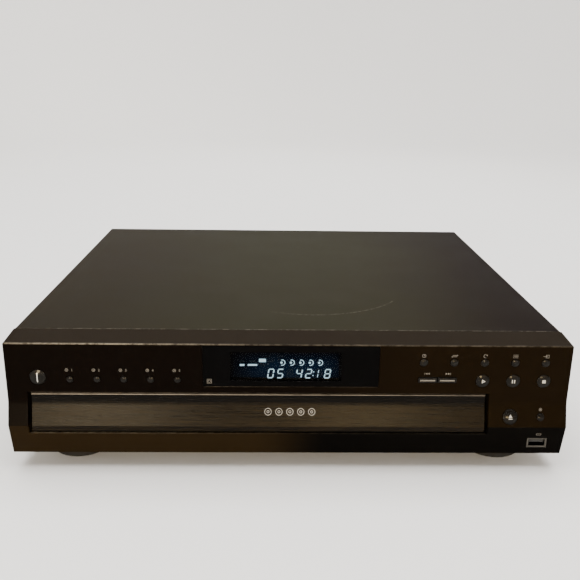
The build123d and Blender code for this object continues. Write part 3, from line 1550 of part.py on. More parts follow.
sled_teeth = (sled_gear_y - sled_rack_start) / sled_rack_pitch
sled_phase = sled_teeth - int(sled_teeth)
sled_gear_turn = 180 + (0.5 + sled_phase) * 360 / sled_gear_teeth
with BuildPart() as sled_gear:
    gear_plane = Plane(
        unit.from_local_coords(Vector(sled_gear_x, sled_gear_y, shelf_z + 1.7)),
        x_dir=unit.x_dir,
        z_dir=unit.z_dir,
    )
    extrude(gear_outline(gear_plane, sled_gear_teeth, sled_rack_module, sled_gear_turn), amount=4)
    with BuildSketch(gear_plane.offset(-1.6)):
        pin(spindle_radius)
    extrude(amount=1.6)
sled_gear.part.label = "sled_gear"
export_step(sled_gear.part, "parts/sled_gear.step")

with BuildPart() as sled_motor:
    with BuildSketch(unit.offset(shelf_z - 0.1 - sled_motor_height)):
        with Locations((sled_gear_x, sled_gear_y)):
            wheel(sled_motor_radius)
    extrude(amount=sled_motor_height)
sled_motor.part.label = "sled_motor"
export_step(sled_motor.part, "parts/sled_motor.step")
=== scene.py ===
"""The looks of a five-disc carousel changer: finishes, keys, lit display, printed marks, camera and studio.

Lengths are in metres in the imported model's own frame: +X right, +Y back, +Z up.
"""

import json
import logging
import math
from dataclasses import dataclass, field
from enum import Enum
from typing import Any, Union

import bmesh
import bpy
from mathutils import Matrix, Vector
from mathutils.bvhtree import BVHTree


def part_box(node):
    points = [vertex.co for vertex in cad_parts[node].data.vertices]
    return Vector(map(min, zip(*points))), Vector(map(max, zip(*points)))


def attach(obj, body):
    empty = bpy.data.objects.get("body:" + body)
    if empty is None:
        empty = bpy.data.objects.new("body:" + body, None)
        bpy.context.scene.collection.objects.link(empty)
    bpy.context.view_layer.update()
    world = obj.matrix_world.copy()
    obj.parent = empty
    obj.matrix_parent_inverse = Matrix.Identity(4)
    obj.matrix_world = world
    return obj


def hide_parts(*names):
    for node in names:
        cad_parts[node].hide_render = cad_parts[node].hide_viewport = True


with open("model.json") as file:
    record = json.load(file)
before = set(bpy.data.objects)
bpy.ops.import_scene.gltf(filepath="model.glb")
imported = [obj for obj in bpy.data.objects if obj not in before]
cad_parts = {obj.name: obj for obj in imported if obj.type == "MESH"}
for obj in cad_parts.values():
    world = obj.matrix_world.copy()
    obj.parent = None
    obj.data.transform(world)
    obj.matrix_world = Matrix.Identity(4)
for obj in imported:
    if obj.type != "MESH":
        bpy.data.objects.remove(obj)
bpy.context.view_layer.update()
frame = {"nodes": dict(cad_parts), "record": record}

log = logging.getLogger("disc_changer")
MM = 0.001
Colour = tuple[float, float, float]
Piece = bpy.types.Object
Shape = bmesh.types.BMesh


# --- shader maths
class Value:
    """A shader socket that Python's operators work on, each adding its Math node."""

    def __init__(self, wiring: "Wiring", socket: bpy.types.NodeSocket) -> None:
        """Keeps the socket and the wiring that it belongs to.

        Args:
            wiring: the material being wired.
            socket: the output socket that gives the value.
        """
        self.wiring = wiring
        self.socket = socket

    def maths(self, operation: str, *others: "Term") -> "Value":
        """Joins this value with others through one Math node.

        Args:
            operation: the Math node's operation.
            others: the values or numbers of its further inputs.

        Returns:
            The node's result.
        """
        return self.wiring.node("ShaderNodeMath", {"operation": operation}, dict(enumerate((self, *others))))

    def __add__(self, other: "Term") -> "Value":
        """Gives self + other."""
        return self.maths("ADD", other)

    __radd__ = __add__

    def __mul__(self, other: "Term") -> "Value":
        """Gives self * other."""
        return self.maths("MULTIPLY", other)

    __rmul__ = __mul__

    def __sub__(self, other: "Term") -> "Value":
        """Gives self - other."""
        return self.maths("SUBTRACT", other)

    def __rsub__(self, other: float) -> "Value":
        """Gives other - self."""
        return self.wiring.node("ShaderNodeMath", {"operation": "SUBTRACT"}, {0: other, 1: self})

    def __truediv__(self, other: "Term") -> "Value":
        """Gives self / other."""
        return self.maths("DIVIDE", other)

    def __pow__(self, other: "Term") -> "Value":
        """Gives self to the power of other."""
        return self.maths("POWER", other)

    def __abs__(self) -> "Value":
        """Gives the value without its sign."""
        return self.maths("ABSOLUTE")

    def step(self, low: float, high: float) -> "Value":
        """Rises smoothly from 0 at low to 1 at high, or falls where low is the larger.

        Args:
            low: where the result is 0.
            high: where the result is 1.

        Returns:
            The smoothed mask.
        """
        settings = {"interpolation_type": "SMOOTHSTEP"}
        if low < high:
            return self.wiring.node("ShaderNodeMapRange", settings, {0: self, 1: low, 2: high})
        return self.wiring.node("ShaderNodeMapRange", settings, {0: self, 1: high, 2: low, 3: 1.0, 4: 0.0})

    def axis(self, index: int) -> "Value":
        """Gives the X, Y or Z part of a vector, for index 0, 1 or 2."""
        return self.wiring.node("ShaderNodeSeparateXYZ", {}, {0: self}, index)


Term = Union[Value, float, tuple]


class Wiring:
    """One node material while it is being wired."""

    def __init__(self, name: str) -> None:
        """Starts an empty node tree.

        Args:
            name: the material's name.
        """
        self.material = bpy.data.materials.new(name)
        self.material.use_nodes = True
        self.tree = self.material.node_tree
        self.tree.nodes.clear()
        self.place: Union[Value, None] = None
        self.sockets: dict[str, Term] = {}

    def node(self, kind: str, settings: dict[str, Any], sockets: dict[Any, Term], output: int = 0) -> Value:
        """Adds a node, its settings first and its sockets after them.

        Args:
            kind: the node's type.
            settings: its properties.
            sockets: values or links by socket name or number.
            output: the number of the output socket to give back.

        Returns:
            That output's value.
        """
        made = self.tree.nodes.new(kind)
        for key, setting in settings.items():
            setattr(made, key, setting)
        for key, term in sockets.items():
            if isinstance(term, Value):
                self.tree.links.new(term.socket, made.inputs[key])
            else:
                made.inputs[key].default_value = term
        return Value(self, made.outputs[output])

    def position(self) -> Value:
        """Gives the place on the piece, in the model's own metres."""
        if self.place is None:
            self.place = self.node("ShaderNodeTexCoord", {}, {}, 3)
        return self.place

    def axes(self) -> list[Value]:
        """Gives the X, Y and Z parts of the place on the piece."""
        return [self.position().axis(index) for index in range(3)]

    def noise(
        self, size: float, detail: float, stretch: Colour = (1.0, 1.0, 1.0), rough: float = 0.5
    ) -> Value:
        """Gives cloud noise whose blotches have a real size.

        Args:
            size: the width of a blotch, in metres.
            detail: how many finer layers it has.
            stretch: how much wider than size it is along X, Y and Z.
            rough: the strength of the finer layers.

        Returns:
            Noise between 0 and 1.
        """
        scale = tuple(1.0 / (size * part) for part in stretch)
        mapped = self.node("ShaderNodeMapping", {}, {"Vector": self.position(), "Scale": scale})
        sockets = {"Vector": mapped, "Scale": 1.0, "Detail": detail, "Roughness": rough}
        return self.node("ShaderNodeTexNoise", {}, sockets)

    def blend(self, share: Term, first: Term, second: Term) -> Value:
        """Mixes two colours.

        Args:
            share: 0 for the first, 1 for the second.
            first: a colour of four numbers or a value.
            second: the same.

        Returns:
            The mixed colour.
        """
        return self.node("ShaderNodeMix", {"data_type": "RGBA"}, {0: share, 6: first, 7: second}, 2)

    def bump(self, height: Value, depth: float) -> Value:
        """Turns a height into a surface normal.

        Args:
            height: the height, from 0 to 1.
            depth: how deep 0 lies under 1, in metres.

        Returns:
            The normal.
        """
        return self.node("ShaderNodeBump", {}, {"Strength": 1.0, "Distance": depth, "Height": height})

    def surface(self) -> None:
        """Ends the tree with the surface shader and its output."""
        shader = self.node("ShaderNodeBsdfPrincipled", {}, self.sockets)
        out = self.tree.nodes.new("ShaderNodeOutputMaterial")
        self.tree.links.new(shader.socket, out.inputs[0])


def rgba(shade: Colour, gain: float = 1.0) -> tuple[float, float, float, float]:
    """Gives a colour with full cover, its brightness times gain."""
    return (shade[0] * gain, shade[1] * gain, shade[2] * gain, 1.0)


# --- finishes
@dataclass(frozen=True)
class Finish:
    """A plain finish with clouded colour, uneven gloss and a fine grain."""

    name: str
    base: Colour
    rough: float
    metal: float = 0.0
    specular: float = 0.5
    cloud: float = 0.2
    cloud_size: float = 0.03
    grain_size: float = 0.0005
    grain_depth: float = 0.00002
    stretch: Colour = (1.0, 1.0, 1.0)

    def material(self) -> bpy.types.Material:
        """Gives the finish as a material, made once."""
        made = bpy.data.materials.get(self.name)
        if made is None:
            wiring = Wiring(self.name)
            self.wire(wiring)
            wiring.surface()
            made = wiring.material
        return made

    def wire(self, wiring: Wiring) -> None:
        """Wires the clouding and grain that all finishes share.

        Args:
            wiring: the material being wired.
        """
        cloud = wiring.noise(self.cloud_size, 5.0, self.stretch)
        grain = wiring.noise(self.grain_size, 3.0, self.stretch)
        dark, light = rgba(self.base, 1.0 - self.cloud), rgba(self.base, 1.0 + self.cloud)
        wiring.sockets = {
            "Base Color": wiring.blend(cloud, dark, light),
            "Metallic": self.metal,
            "Roughness": self.rough * 0.88 + cloud * (self.rough * 0.16) + grain * (self.rough * 0.08),
            "Specular IOR Level": self.specular,
            "Normal": wiring.bump(grain, self.grain_depth),
        }


@dataclass(frozen=True)
class Scuff:
    """A curved rub mark on the cover: an arc and the stretch of it that shows, from the arc's centre."""

    centre: tuple[float, float]
    radius: float
    width: float
    reach: tuple[float, float]
    back: float
    fade: float = 0.012

    def mask(self, wiring: Wiring) -> Value:
        """Wires the mark's mask.

        Args:
            wiring: the material being wired.

        Returns:
            1 on the mark, 0 off it.
        """
        across, along = (part - middle for part, middle in zip(wiring.axes(), self.centre))
        off = abs((across * across + along * along) ** 0.5 - self.radius)
        left, right = self.reach
        inside = across.step(left, left + self.fade) * across.step(right, right - self.fade)
        return off.step(self.width, self.width * 0.2) * inside * along.step(self.back, self.back - 0.01)


@dataclass(frozen=True)
class SheetPaint(Finish):
    """Baked matt paint on sheet steel, rubbed here and there and worn along the front edge, with painted
    light across the middle and painted shade toward the right end.
    """

    scuffs: tuple[Scuff, ...] = ()
    worn_edge: float = 0.0
    # The two tints below are painted light in the middle and painted shade toward the right end, not colours
    # of the paint.
    middle_tint: Colour = (0.010, 0.0092, 0.0078)
    edge_tint: Colour = (0.009, 0.0080, 0.0066)
    rubbed: Colour = (0.15, 0.13, 0.105)

    def wire(self, wiring: Wiring) -> None:
        """Wires the paint, its rubbed marks, and the painted light and shade across it.

        Args:
            wiring: the material being wired.
        """
        super().wire(wiring)
        sockets = wiring.sockets
        peel = wiring.noise(0.0012, 2.0)
        marks = wiring.noise(0.004, 6.0, rough=0.75).step(0.66, 0.8) * 0.25
        for scuff in self.scuffs:
            broken = wiring.noise(0.003, 5.0, rough=0.8).step(0.44, 0.6)
            marks = marks + scuff.mask(wiring) * broken * 0.8
        if self.worn_edge:
            near = wiring.axes()[1].step(self.worn_edge + 0.0016, self.worn_edge + 0.0004)
            marks = marks + near * (wiring.noise(0.005, 5.0, rough=0.8).step(0.46, 0.6) * 0.9 + 0.1)
        # Painted light across the middle and painted shade toward the right end, under the rubbed marks.
        across = wiring.axes()[0] + (wiring.noise(0.12, 3.0) - 0.5) * 0.08
        painted_light_share = abs(across - 0.01).step(0.2, 0.02)
        middle = wiring.blend(painted_light_share, sockets["Base Color"], rgba(self.middle_tint))
        edge = wiring.blend(across.step(0.08, 0.21) * 0.9, middle, rgba(self.edge_tint))
        sockets["Base Color"] = wiring.blend(marks * 0.5, edge, rgba(self.rubbed))
        sockets["Roughness"] = sockets["Roughness"] + marks * 0.08
        sockets["Normal"] = wiring.bump(peel + wiring.noise(0.0004, 2.0) * 0.4, self.grain_depth)


@dataclass(frozen=True)
class RubbedLine:
    """A level edge drawn lighter, partly as rubbed wear and partly as a painted highlight: its height and the
    stretch of it that shows.
    """

    height: float
    half_width: float
    left: float
    right: float
    strength: float
    deepest: float
    fade: float = 0.004

    def mask(self, wiring: Wiring) -> Value:
        """Wires the line's mask.

        Args:
            wiring: the material being wired.

        Returns:
            1 on the line, 0 off it.
        """
        across, depth, height = wiring.axes()
        near = abs(height - self.height).step(self.half_width, self.half_width * 0.4)
        left, right = self.left, self.right
        inside = across.step(left, left + self.fade) * across.step(right, right - self.fade)
        return near * inside * depth.step(self.deepest + 0.0004, self.deepest) * self.strength


@dataclass(frozen=True)
class FrontPlastic(Finish):
    """Satin moulded plastic of the front: its edge lines drawn lighter as rubbed wear and painted highlight,
    a painted warm light toward the right, painted light on the set-back strip, and painted light and shade
    below the crease.
    """

    face_y: float = -0.1933
    crease_z: float = 0.0409
    # Painted light on the left and painted shade on the right below the crease, a painted warm light toward
    # the right of the face, and painted light on the set-back strip.
    low_left: Colour = (0.0115, 0.0070, 0.0024)
    low_right: Colour = (0.0006, 0.0005, 0.0003)
    warm: Colour = (0.0072, 0.0040, 0.0010)
    strip: Colour = (0.0165, 0.0125, 0.0085)
    # The colour of the edge lines: partly rubbed wear, partly painted highlight.
    rubbed: Colour = (0.20, 0.17, 0.125)
    lines: tuple[RubbedLine, ...] = ()

    def wire(self, wiring: Wiring) -> None:
        """Wires the plastic, with its painted light and shade and its lighter edge lines.

        Args:
            wiring: the material being wired.
        """
        super().wire(wiring)
        sockets = wiring.sockets
        across, depth, height = wiring.axes()
        # Edge lines: painted highlights broken like rubbed wear, stronger toward the left.
        wear_and_highlight_share = across.step(0.0, -0.16) * 0.75 + 0.25
        wear_and_highlight_share = wear_and_highlight_share * (wiring.noise(0.005, 5.0, rough=0.8).step(0.36, 0.62) * 0.8 + 0.2)
        worn: Term = 0.0
        for line in self.lines:
            worn = line.mask(wiring) + worn
        # Painted light on the set-back strip and a painted warm light toward the right of the face.
        strip = depth.step(self.face_y + 0.0005, self.face_y + 0.003)
        painted_warm_share = across.step(-0.02, 0.12) * (1.0 - strip)
        face = wiring.blend(painted_warm_share * 0.6, sockets["Base Color"], rgba(self.warm))
        face = wiring.blend(strip * 0.8, face, rgba(self.strip))
        # Below the crease: painted light on the left, painted shade on the right.
        under = height.step(self.crease_z + 0.0004, self.crease_z - 0.0008)
        side = wiring.blend(across.step(-0.03, 0.03), rgba(self.low_left), rgba(self.low_right))
        face = wiring.blend(under * 0.9, face, side)
        sockets["Base Color"] = wiring.blend(worn * wear_and_highlight_share, face, rgba(self.rubbed))
        sockets["Roughness"] = sockets["Roughness"] + strip * 0.3


@dataclass(frozen=True)
class BrushedFront(Finish):
    """Fine horizontal brushing on the drawer's front, with painted shade on its upright band and a painted
    highlight, partly rubbed wear, on its top edge.
    """

    line: float = 0.00022
    # The top edge carries a painted highlight, partly rubbed wear, in the rubbed colour; the band above
    # upright gets painted shade.
    top_line: float = 0.0650
    upright: float = 0.0575
    rubbed: Colour = (0.26, 0.22, 0.17)

    def wire(self, wiring: Wiring) -> None:
        """Wires the brushing, with painted shade on the upright band and a painted highlight, partly rubbed
        wear, on the top edge.

        Args:
            wiring: the material being wired.
        """
        super().wire(wiring)
        sockets = wiring.sockets
        lines = wiring.noise(self.line, 3.0, (60.0, 1.0, 1.0), 0.75)
        broad = wiring.noise(0.0011, 4.0, (60.0, 1.0, 1.0), 0.6)
        share = lines * 0.6 + broad * 0.4
        brushed = wiring.blend(share.step(0.38, 0.64), rgba(self.base, 0.1), rgba(self.base, 2.6))
        across, _, height = wiring.axes()
        # Painted shade on the upright band above the flare.
        painted_shade_band = height.step(self.upright - 0.002, self.upright + 0.003) * 0.72
        painted_shade_brushing = wiring.blend(painted_shade_band, brushed, rgba(self.base, 0.06))
        # Painted highlight along the top edge, partly rubbed wear, stronger toward the left.
        worn = height.step(self.top_line - 0.0002, self.top_line + 0.0001)
        worn = worn * (across.step(0.16, -0.2) * 0.5 + 0.5)
        worn = worn * (wiring.noise(0.012, 4.0, rough=0.7).step(0.2, 0.6) * 0.6 + 0.4)
        sockets["Base Color"] = wiring.blend(worn, painted_shade_brushing, rgba(self.rubbed))
        sockets["Roughness"] = share * 0.36 + (self.rough - 0.16)
        sockets["Normal"] = wiring.bump(share, 0.00006)


@dataclass(frozen=True)
class SmokedLens(Finish):
    """Smoked acrylic, backed black but for the part before the display tube."""

    clear: float = 0.4
    zone: tuple[float, float, float, float] = (-0.0460, 0.0390, 0.0762, 0.1004)
    soft_edge: float = 0.001

    def wire(self, wiring: Wiring) -> None:
        """Wires the lens.

        Args:
            wiring: the material being wired.
        """
        super().wire(wiring)
        sockets = wiring.sockets
        smear = wiring.noise(0.02, 6.0, (2.0, 1.0, 1.0), 0.6)
        across, _, height = wiring.axes()
        left, right, foot, top = self.zone
        soft = self.soft_edge
        open_part = across.step(left, left + soft) * across.step(right, right - soft)
        open_part = open_part * height.step(foot, foot + soft) * height.step(top, top - soft)
        sockets["Alpha"] = 1.0 - open_part * self.clear
        sockets["Roughness"] = smear.step(0.45, 0.8) * 0.06 + self.rough


@dataclass(frozen=True)
class Glow(Finish):
    """Lit phosphor, brighter and darker in fine dots."""

    power: float = 6.0

    def wire(self, wiring: Wiring) -> None:
        """Wires the glow.

        Args:
            wiring: the material being wired.
        """
        super().wire(wiring)
        sockets = wiring.sockets
        dots = wiring.noise(0.0005, 2.0).step(0.25, 0.7)
        sockets["Emission Color"] = wiring.blend(dots, rgba(self.base, 0.7), rgba(self.base, 1.15))
        sockets["Emission Strength"] = self.power
        sockets["Base Color"] = rgba(self.base, 0.3)


@dataclass(frozen=True)
class TubeGlass(Finish):
    """The display tube's face: near-black glass with a haze of light round the lit figures."""

    middle: tuple[float, float] = (0.002, 0.0852)

    def wire(self, wiring: Wiring) -> None:
        """Wires the glass.

        Args:
            wiring: the material being wired.
        """
        super().wire(wiring)
        sockets = wiring.sockets
        across = abs(wiring.axes()[0] - self.middle[0])
        height = abs(wiring.axes()[2] - self.middle[1])
        haze = across.step(0.050, 0.012) * height.step(0.0150, 0.002)
        mesh = abs((wiring.axes()[0] * 1300.0).maths("FRACT") - 0.5).step(0.44, 0.5)
        lit = haze * (wiring.noise(0.012, 3.0) * 0.8 + 0.6) * (1.0 - mesh * 0.5)
        sockets["Emission Color"] = wiring.blend(lit, rgba(self.base, 0.4), rgba(self.base, 22.0))
        sockets["Emission Strength"] = 1.0


@dataclass(frozen=True)
class PrintedBoard(Finish):
    """Brown paper board with faint conductor tracks."""

    track: float = 0.0025
    copper: Colour = (0.42, 0.30, 0.13)

    def wire(self, wiring: Wiring) -> None:
        """Wires the board.

        Args:
            wiring: the material being wired.
        """
        super().wire(wiring)
        sockets = wiring.sockets
        places = {"Vector": wiring.position(), "Scale": 1.0 / self.track / 3.0}
        cells = wiring.node("ShaderNodeTexVoronoi", {"feature": "DISTANCE_TO_EDGE"}, places)
        tracks = cells.step(0.09, 0.03)
        sockets["Base Color"] = wiring.blend(tracks * 0.6, sockets["Base Color"], rgba(self.copper))
        sockets["Roughness"] = self.rough - tracks * 0.12


@dataclass(frozen=True)
class Layered(Finish):
    """Stacked laminations or wound tape: fine lines across one axis."""

    across: int = 1
    pitch: float = 0.0008

    def wire(self, wiring: Wiring) -> None:
        """Wires the lines.

        Args:
            wiring: the material being wired.
        """
        super().wire(wiring)
        sockets = wiring.sockets
        line = abs((wiring.axes()[self.across] / self.pitch).maths("FRACT") - 0.5).step(0.34, 0.5)
        sockets["Base Color"] = wiring.blend(line * 0.6, sockets["Base Color"], rgba(self.base, 0.35))
        sockets["Normal"] = wiring.bump(1.0 - line, 0.00012)


@dataclass(frozen=True)
class TwoTone(Finish):
    """Socket insulators: one colour left of a line in X, another right of it."""

    other: Colour = (0.5, 0.5, 0.5)
    split: float = 0.136

    def wire(self, wiring: Wiring) -> None:
        """Wires both colours.

        Args:
            wiring: the material being wired.
        """
        super().wire(wiring)
        sockets = wiring.sockets
        side = wiring.axes()[0].step(self.split - 0.0005, self.split + 0.0005)
        sockets["Base Color"] = wiring.blend(side, sockets["Base Color"], rgba(self.other))


class Look(Enum):
    """Every finish on the changer, and the studio floor's."""

    # The cover's middle and right-end tints are painted light and painted shade.
    COVER = SheetPaint(
        "matt_cover_paint", (0.0112, 0.0082, 0.0038), 0.5, specular=0.022, cloud=0.3, cloud_size=0.05,
        grain_depth=0.00005, scuffs=(Scuff((0.0205, -0.0445), 0.0860, 0.0013, (-0.040, 0.098), back=-0.04),),
        worn_edge=-0.1670, middle_tint=(0.0152, 0.0138, 0.0068), edge_tint=(0.0030, 0.0006, 0.0001),
    )
    BACK = SheetPaint(
        "back_paint", (0.010, 0.0092, 0.0078), 0.5, specular=0.12, cloud=0.15, grain_depth=0.00004
    )
    FRONT = FrontPlastic(
        "satin_front", (0.0020, 0.0010, 0.0004), 0.30, specular=0.016, cloud=0.12, cloud_size=0.05,
        # Lines drawn lighter along the edges: partly rubbed wear, partly painted highlight.
        lines=(
            RubbedLine(0.1063, 0.0010, -0.215, 0.215, 0.8, -0.1922),
            RubbedLine(0.0719, 0.0003, -0.067, 0.068, 0.45, -0.1925),
            RubbedLine(0.0344, 0.0003, -0.199, 0.154, 0.35, -0.1900),
            RubbedLine(0.0668, 0.0002, -0.199, 0.154, 0.25, -0.1925),
        ),
    )
    DRAWER = BrushedFront("drawer_brushed", (0.0042, 0.0026, 0.0008), 0.22, specular=0.055, cloud=0.1)
    LENS = SmokedLens(
        "smoked_lens", (0.0008, 0.0007, 0.0007), 0.05, specular=0.02, cloud=0.1, grain_depth=0.0000002
    )
    MASK = Finish("window_mask", (0.0012, 0.0012, 0.0013), 0.85, specular=0.02, grain_depth=0.000002)
    TUBE = TubeGlass("dark_tube_glass", (0.0010, 0.0030, 0.0070), 0.12, specular=0.1)
    LIT = Glow("lit_phosphor", (0.62, 0.88, 1.0), 0.4, power=7.0)
    UNLIT = Glow("resting_phosphor", (0.10, 0.17, 0.22), 0.5, power=0.25)
    INK = Finish("printed_ink", (0.125, 0.115, 0.098), 0.55, specular=0.2, cloud=0.25, cloud_size=0.0008)
    BRIGHT_INK = Finish("bright_ink", (0.36, 0.35, 0.32), 0.5, specular=0.2, cloud=0.2, cloud_size=0.0012)
    KEY = Finish(
        "key_gloss", (0.0035, 0.0028, 0.0018), 0.13, specular=0.10, cloud=0.15, cloud_size=0.004,
        grain_depth=0.000003,
    )
    RIB = Finish(
        "key_rib", (0.55, 0.53, 0.48), 0.2, metal=1.0, cloud=0.1, cloud_size=0.002, grain_depth=0.000002
    )
    ZINC = Finish(
        "zinc_sheet", (0.34, 0.34, 0.32), 0.42, metal=1.0, cloud=0.16, cloud_size=0.012,
        stretch=(3.0, 1.0, 1.0),
    )
    SHELL = Finish("socket_plating", (0.055, 0.05, 0.042), 0.28, metal=1.0, cloud=0.2, cloud_size=0.003)
    PLATED = Finish("bright_plating", (0.62, 0.60, 0.56), 0.22, metal=1.0, cloud=0.12, cloud_size=0.004)
    SCREW = Finish("black_screw", (0.012, 0.011, 0.010), 0.4, specular=0.2, cloud=0.3, cloud_size=0.001)
    BLACK = Finish("black_moulding", (0.012, 0.0118, 0.0115), 0.5, specular=0.3, grain_depth=0.00003)
    TRAY = Finish(
        "tray_moulding", (0.014, 0.0138, 0.0142), 0.46, specular=0.35, grain_size=0.0007, grain_depth=0.00005
    )
    RUBBER = Finish("soft_foot_rubber", (0.011, 0.0105, 0.010), 0.7, specular=0.3, grain_depth=0.00005)
    ACETAL = Finish("natural_acetal", (0.70, 0.67, 0.58), 0.4, cloud=0.06, cloud_size=0.006)
    CORE = Layered("core_laminations", (0.10, 0.095, 0.085), 0.4, metal=0.6, across=1, pitch=0.0009)
    COIL = Layered("wound_coil_tape", (0.45, 0.30, 0.06), 0.45, across=2, pitch=0.004)
    BOARD = PrintedBoard("paper_board", (0.20, 0.115, 0.045), 0.5)
    BELT = Finish("drive_belt_rubber", (0.013, 0.0125, 0.012), 0.6, specular=0.35)
    INSULATOR = TwoTone("socket_insulators", (0.75, 0.74, 0.70), 0.4, other=(0.42, 0.02, 0.015))
    FLOOR = Finish(
        "pale_floor", (0.93, 0.925, 0.92), 0.75, specular=0.2, cloud=0.01, cloud_size=0.4, grain_size=0.003,
        grain_depth=0.00001,
    )


# --- mesh helpers
def tree_of(piece: Piece) -> BVHTree:
    """Gives a search tree of a piece's finished surface."""
    return BVHTree.FromObject(piece, bpy.context.evaluated_depsgraph_get())


def middle_of(node: str) -> tuple[float, float]:
    """Gives the middle of a node's box across and up, in millimetres."""
    low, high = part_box(node)
    return (low.x + high.x) / 2 / MM, (low.z + high.z) / 2 / MM


def thicken(shape: Shape, depth: Vector) -> None:
    """Gives flat faces a thickness.

    Args:
        shape: the flat faces.
        depth: the way to their other side.
    """
    made = bmesh.ops.extrude_face_region(shape, geom=list(shape.faces))
    moved = [part for part in made["geom"] if isinstance(part, bmesh.types.BMVert)]
    bmesh.ops.translate(shape, vec=depth, verts=moved)


def piece_of(shape: Shape, name: str, finish: Look, smooth: float) -> Piece:
    """Makes a finished piece of a bmesh, which it uses up.

    Args:
        shape: the piece's shape, in place.
        name: the piece's name.
        finish: its finish.
        smooth: faces that meet at less than this angle, in degrees, shade as one.

    Returns:
        The piece.
    """
    for face in shape.faces:
        face.smooth = True
    for edge in shape.edges:
        edge.smooth = edge.is_manifold and edge.calc_face_angle(math.pi) < math.radians(smooth)
    mesh = bpy.data.meshes.new(name)
    shape.to_mesh(mesh)
    shape.free()
    piece = bpy.data.objects.new(name, mesh)
    bpy.context.scene.collection.objects.link(piece)
    mesh.materials.append(finish.value.material())
    return piece


def settle(shape: Shape, name: str, body: str, finish: Look) -> Piece:
    """Makes a piece of a new shape, its normals outwards, and lets it ride on its body.

    Args:
        shape: the piece's shape, in place.
        name: the piece's name.
        body: the body that it rides on.
        finish: its finish.

    Returns:
        The piece.
    """
    bmesh.ops.remove_doubles(shape, verts=shape.verts, dist=1e-7)
    bmesh.ops.recalc_face_normals(shape, faces=shape.faces)
    piece = piece_of(shape, name, finish, 35)
    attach(piece, body)
    return piece


def body_of(node: str) -> str:
    """Gives the name of the body that a node belongs to."""
    bodies = frame["record"]["behaviour"]["bodies"]
    return next(body for body, nodes in bodies.items() if node in nodes)


def paint(node: str, finish: Look) -> None:
    """Gives a carried-over node its finish."""
    slots = frame["nodes"][node].data.materials
    slots.clear()
    slots.append(finish.value.material())


def refine(node: str, finish: Look, edge: float, segments: int = 2) -> Piece:
    """Replaces a node by its own shape with softened edges and smooth roundings.

    Args:
        node: the node's name.
        finish: the finish.
        edge: the width of the edges' rounding, in metres.
        segments: the rounding's steps.

    Returns:
        The piece.
    """
    shape = bmesh.new()
    shape.from_mesh(frame["nodes"][node].data)
    bmesh.ops.remove_doubles(shape, verts=shape.verts, dist=2e-6)
    bmesh.ops.dissolve_limit(shape, angle_limit=math.radians(0.4), verts=shape.verts, edges=shape.edges)
    piece = piece_of(shape, node + "_refined", finish, 28)
    if edge:
        bevel = piece.modifiers.new("soft_edges", "BEVEL")
        bevel.width, bevel.segments, bevel.limit_method = edge, segments, "ANGLE"
        bevel.angle_limit, bevel.harden_normals = math.radians(38), False
        bevel.use_clamp_overlap = True
    weighted = piece.modifiers.new("flat_faces", "WEIGHTED_NORMAL")
    weighted.keep_sharp, weighted.weight = True, 50
    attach(piece, body_of(node))
    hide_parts(node)
    return piece


class Facing(Enum):
    """Where a mark is read from: its right and its up."""

    FRONT = ((1.0, 0.0, 0.0), (0.0, 0.0, 1.0))
    TOP = ((1.0, 0.0, 0.0), (0.0, 1.0, 0.0))
    BACK = ((-1.0, 0.0, 0.0), (0.0, 0.0, 1.0))

    def matrix(self) -> Matrix:
        """Gives the turn from the drawing's plane to the model's frame."""
        right, up = Vector(self.value[0]), Vector(self.value[1])
        return Matrix((right, up, right.cross(up))).transposed().to_4x4()


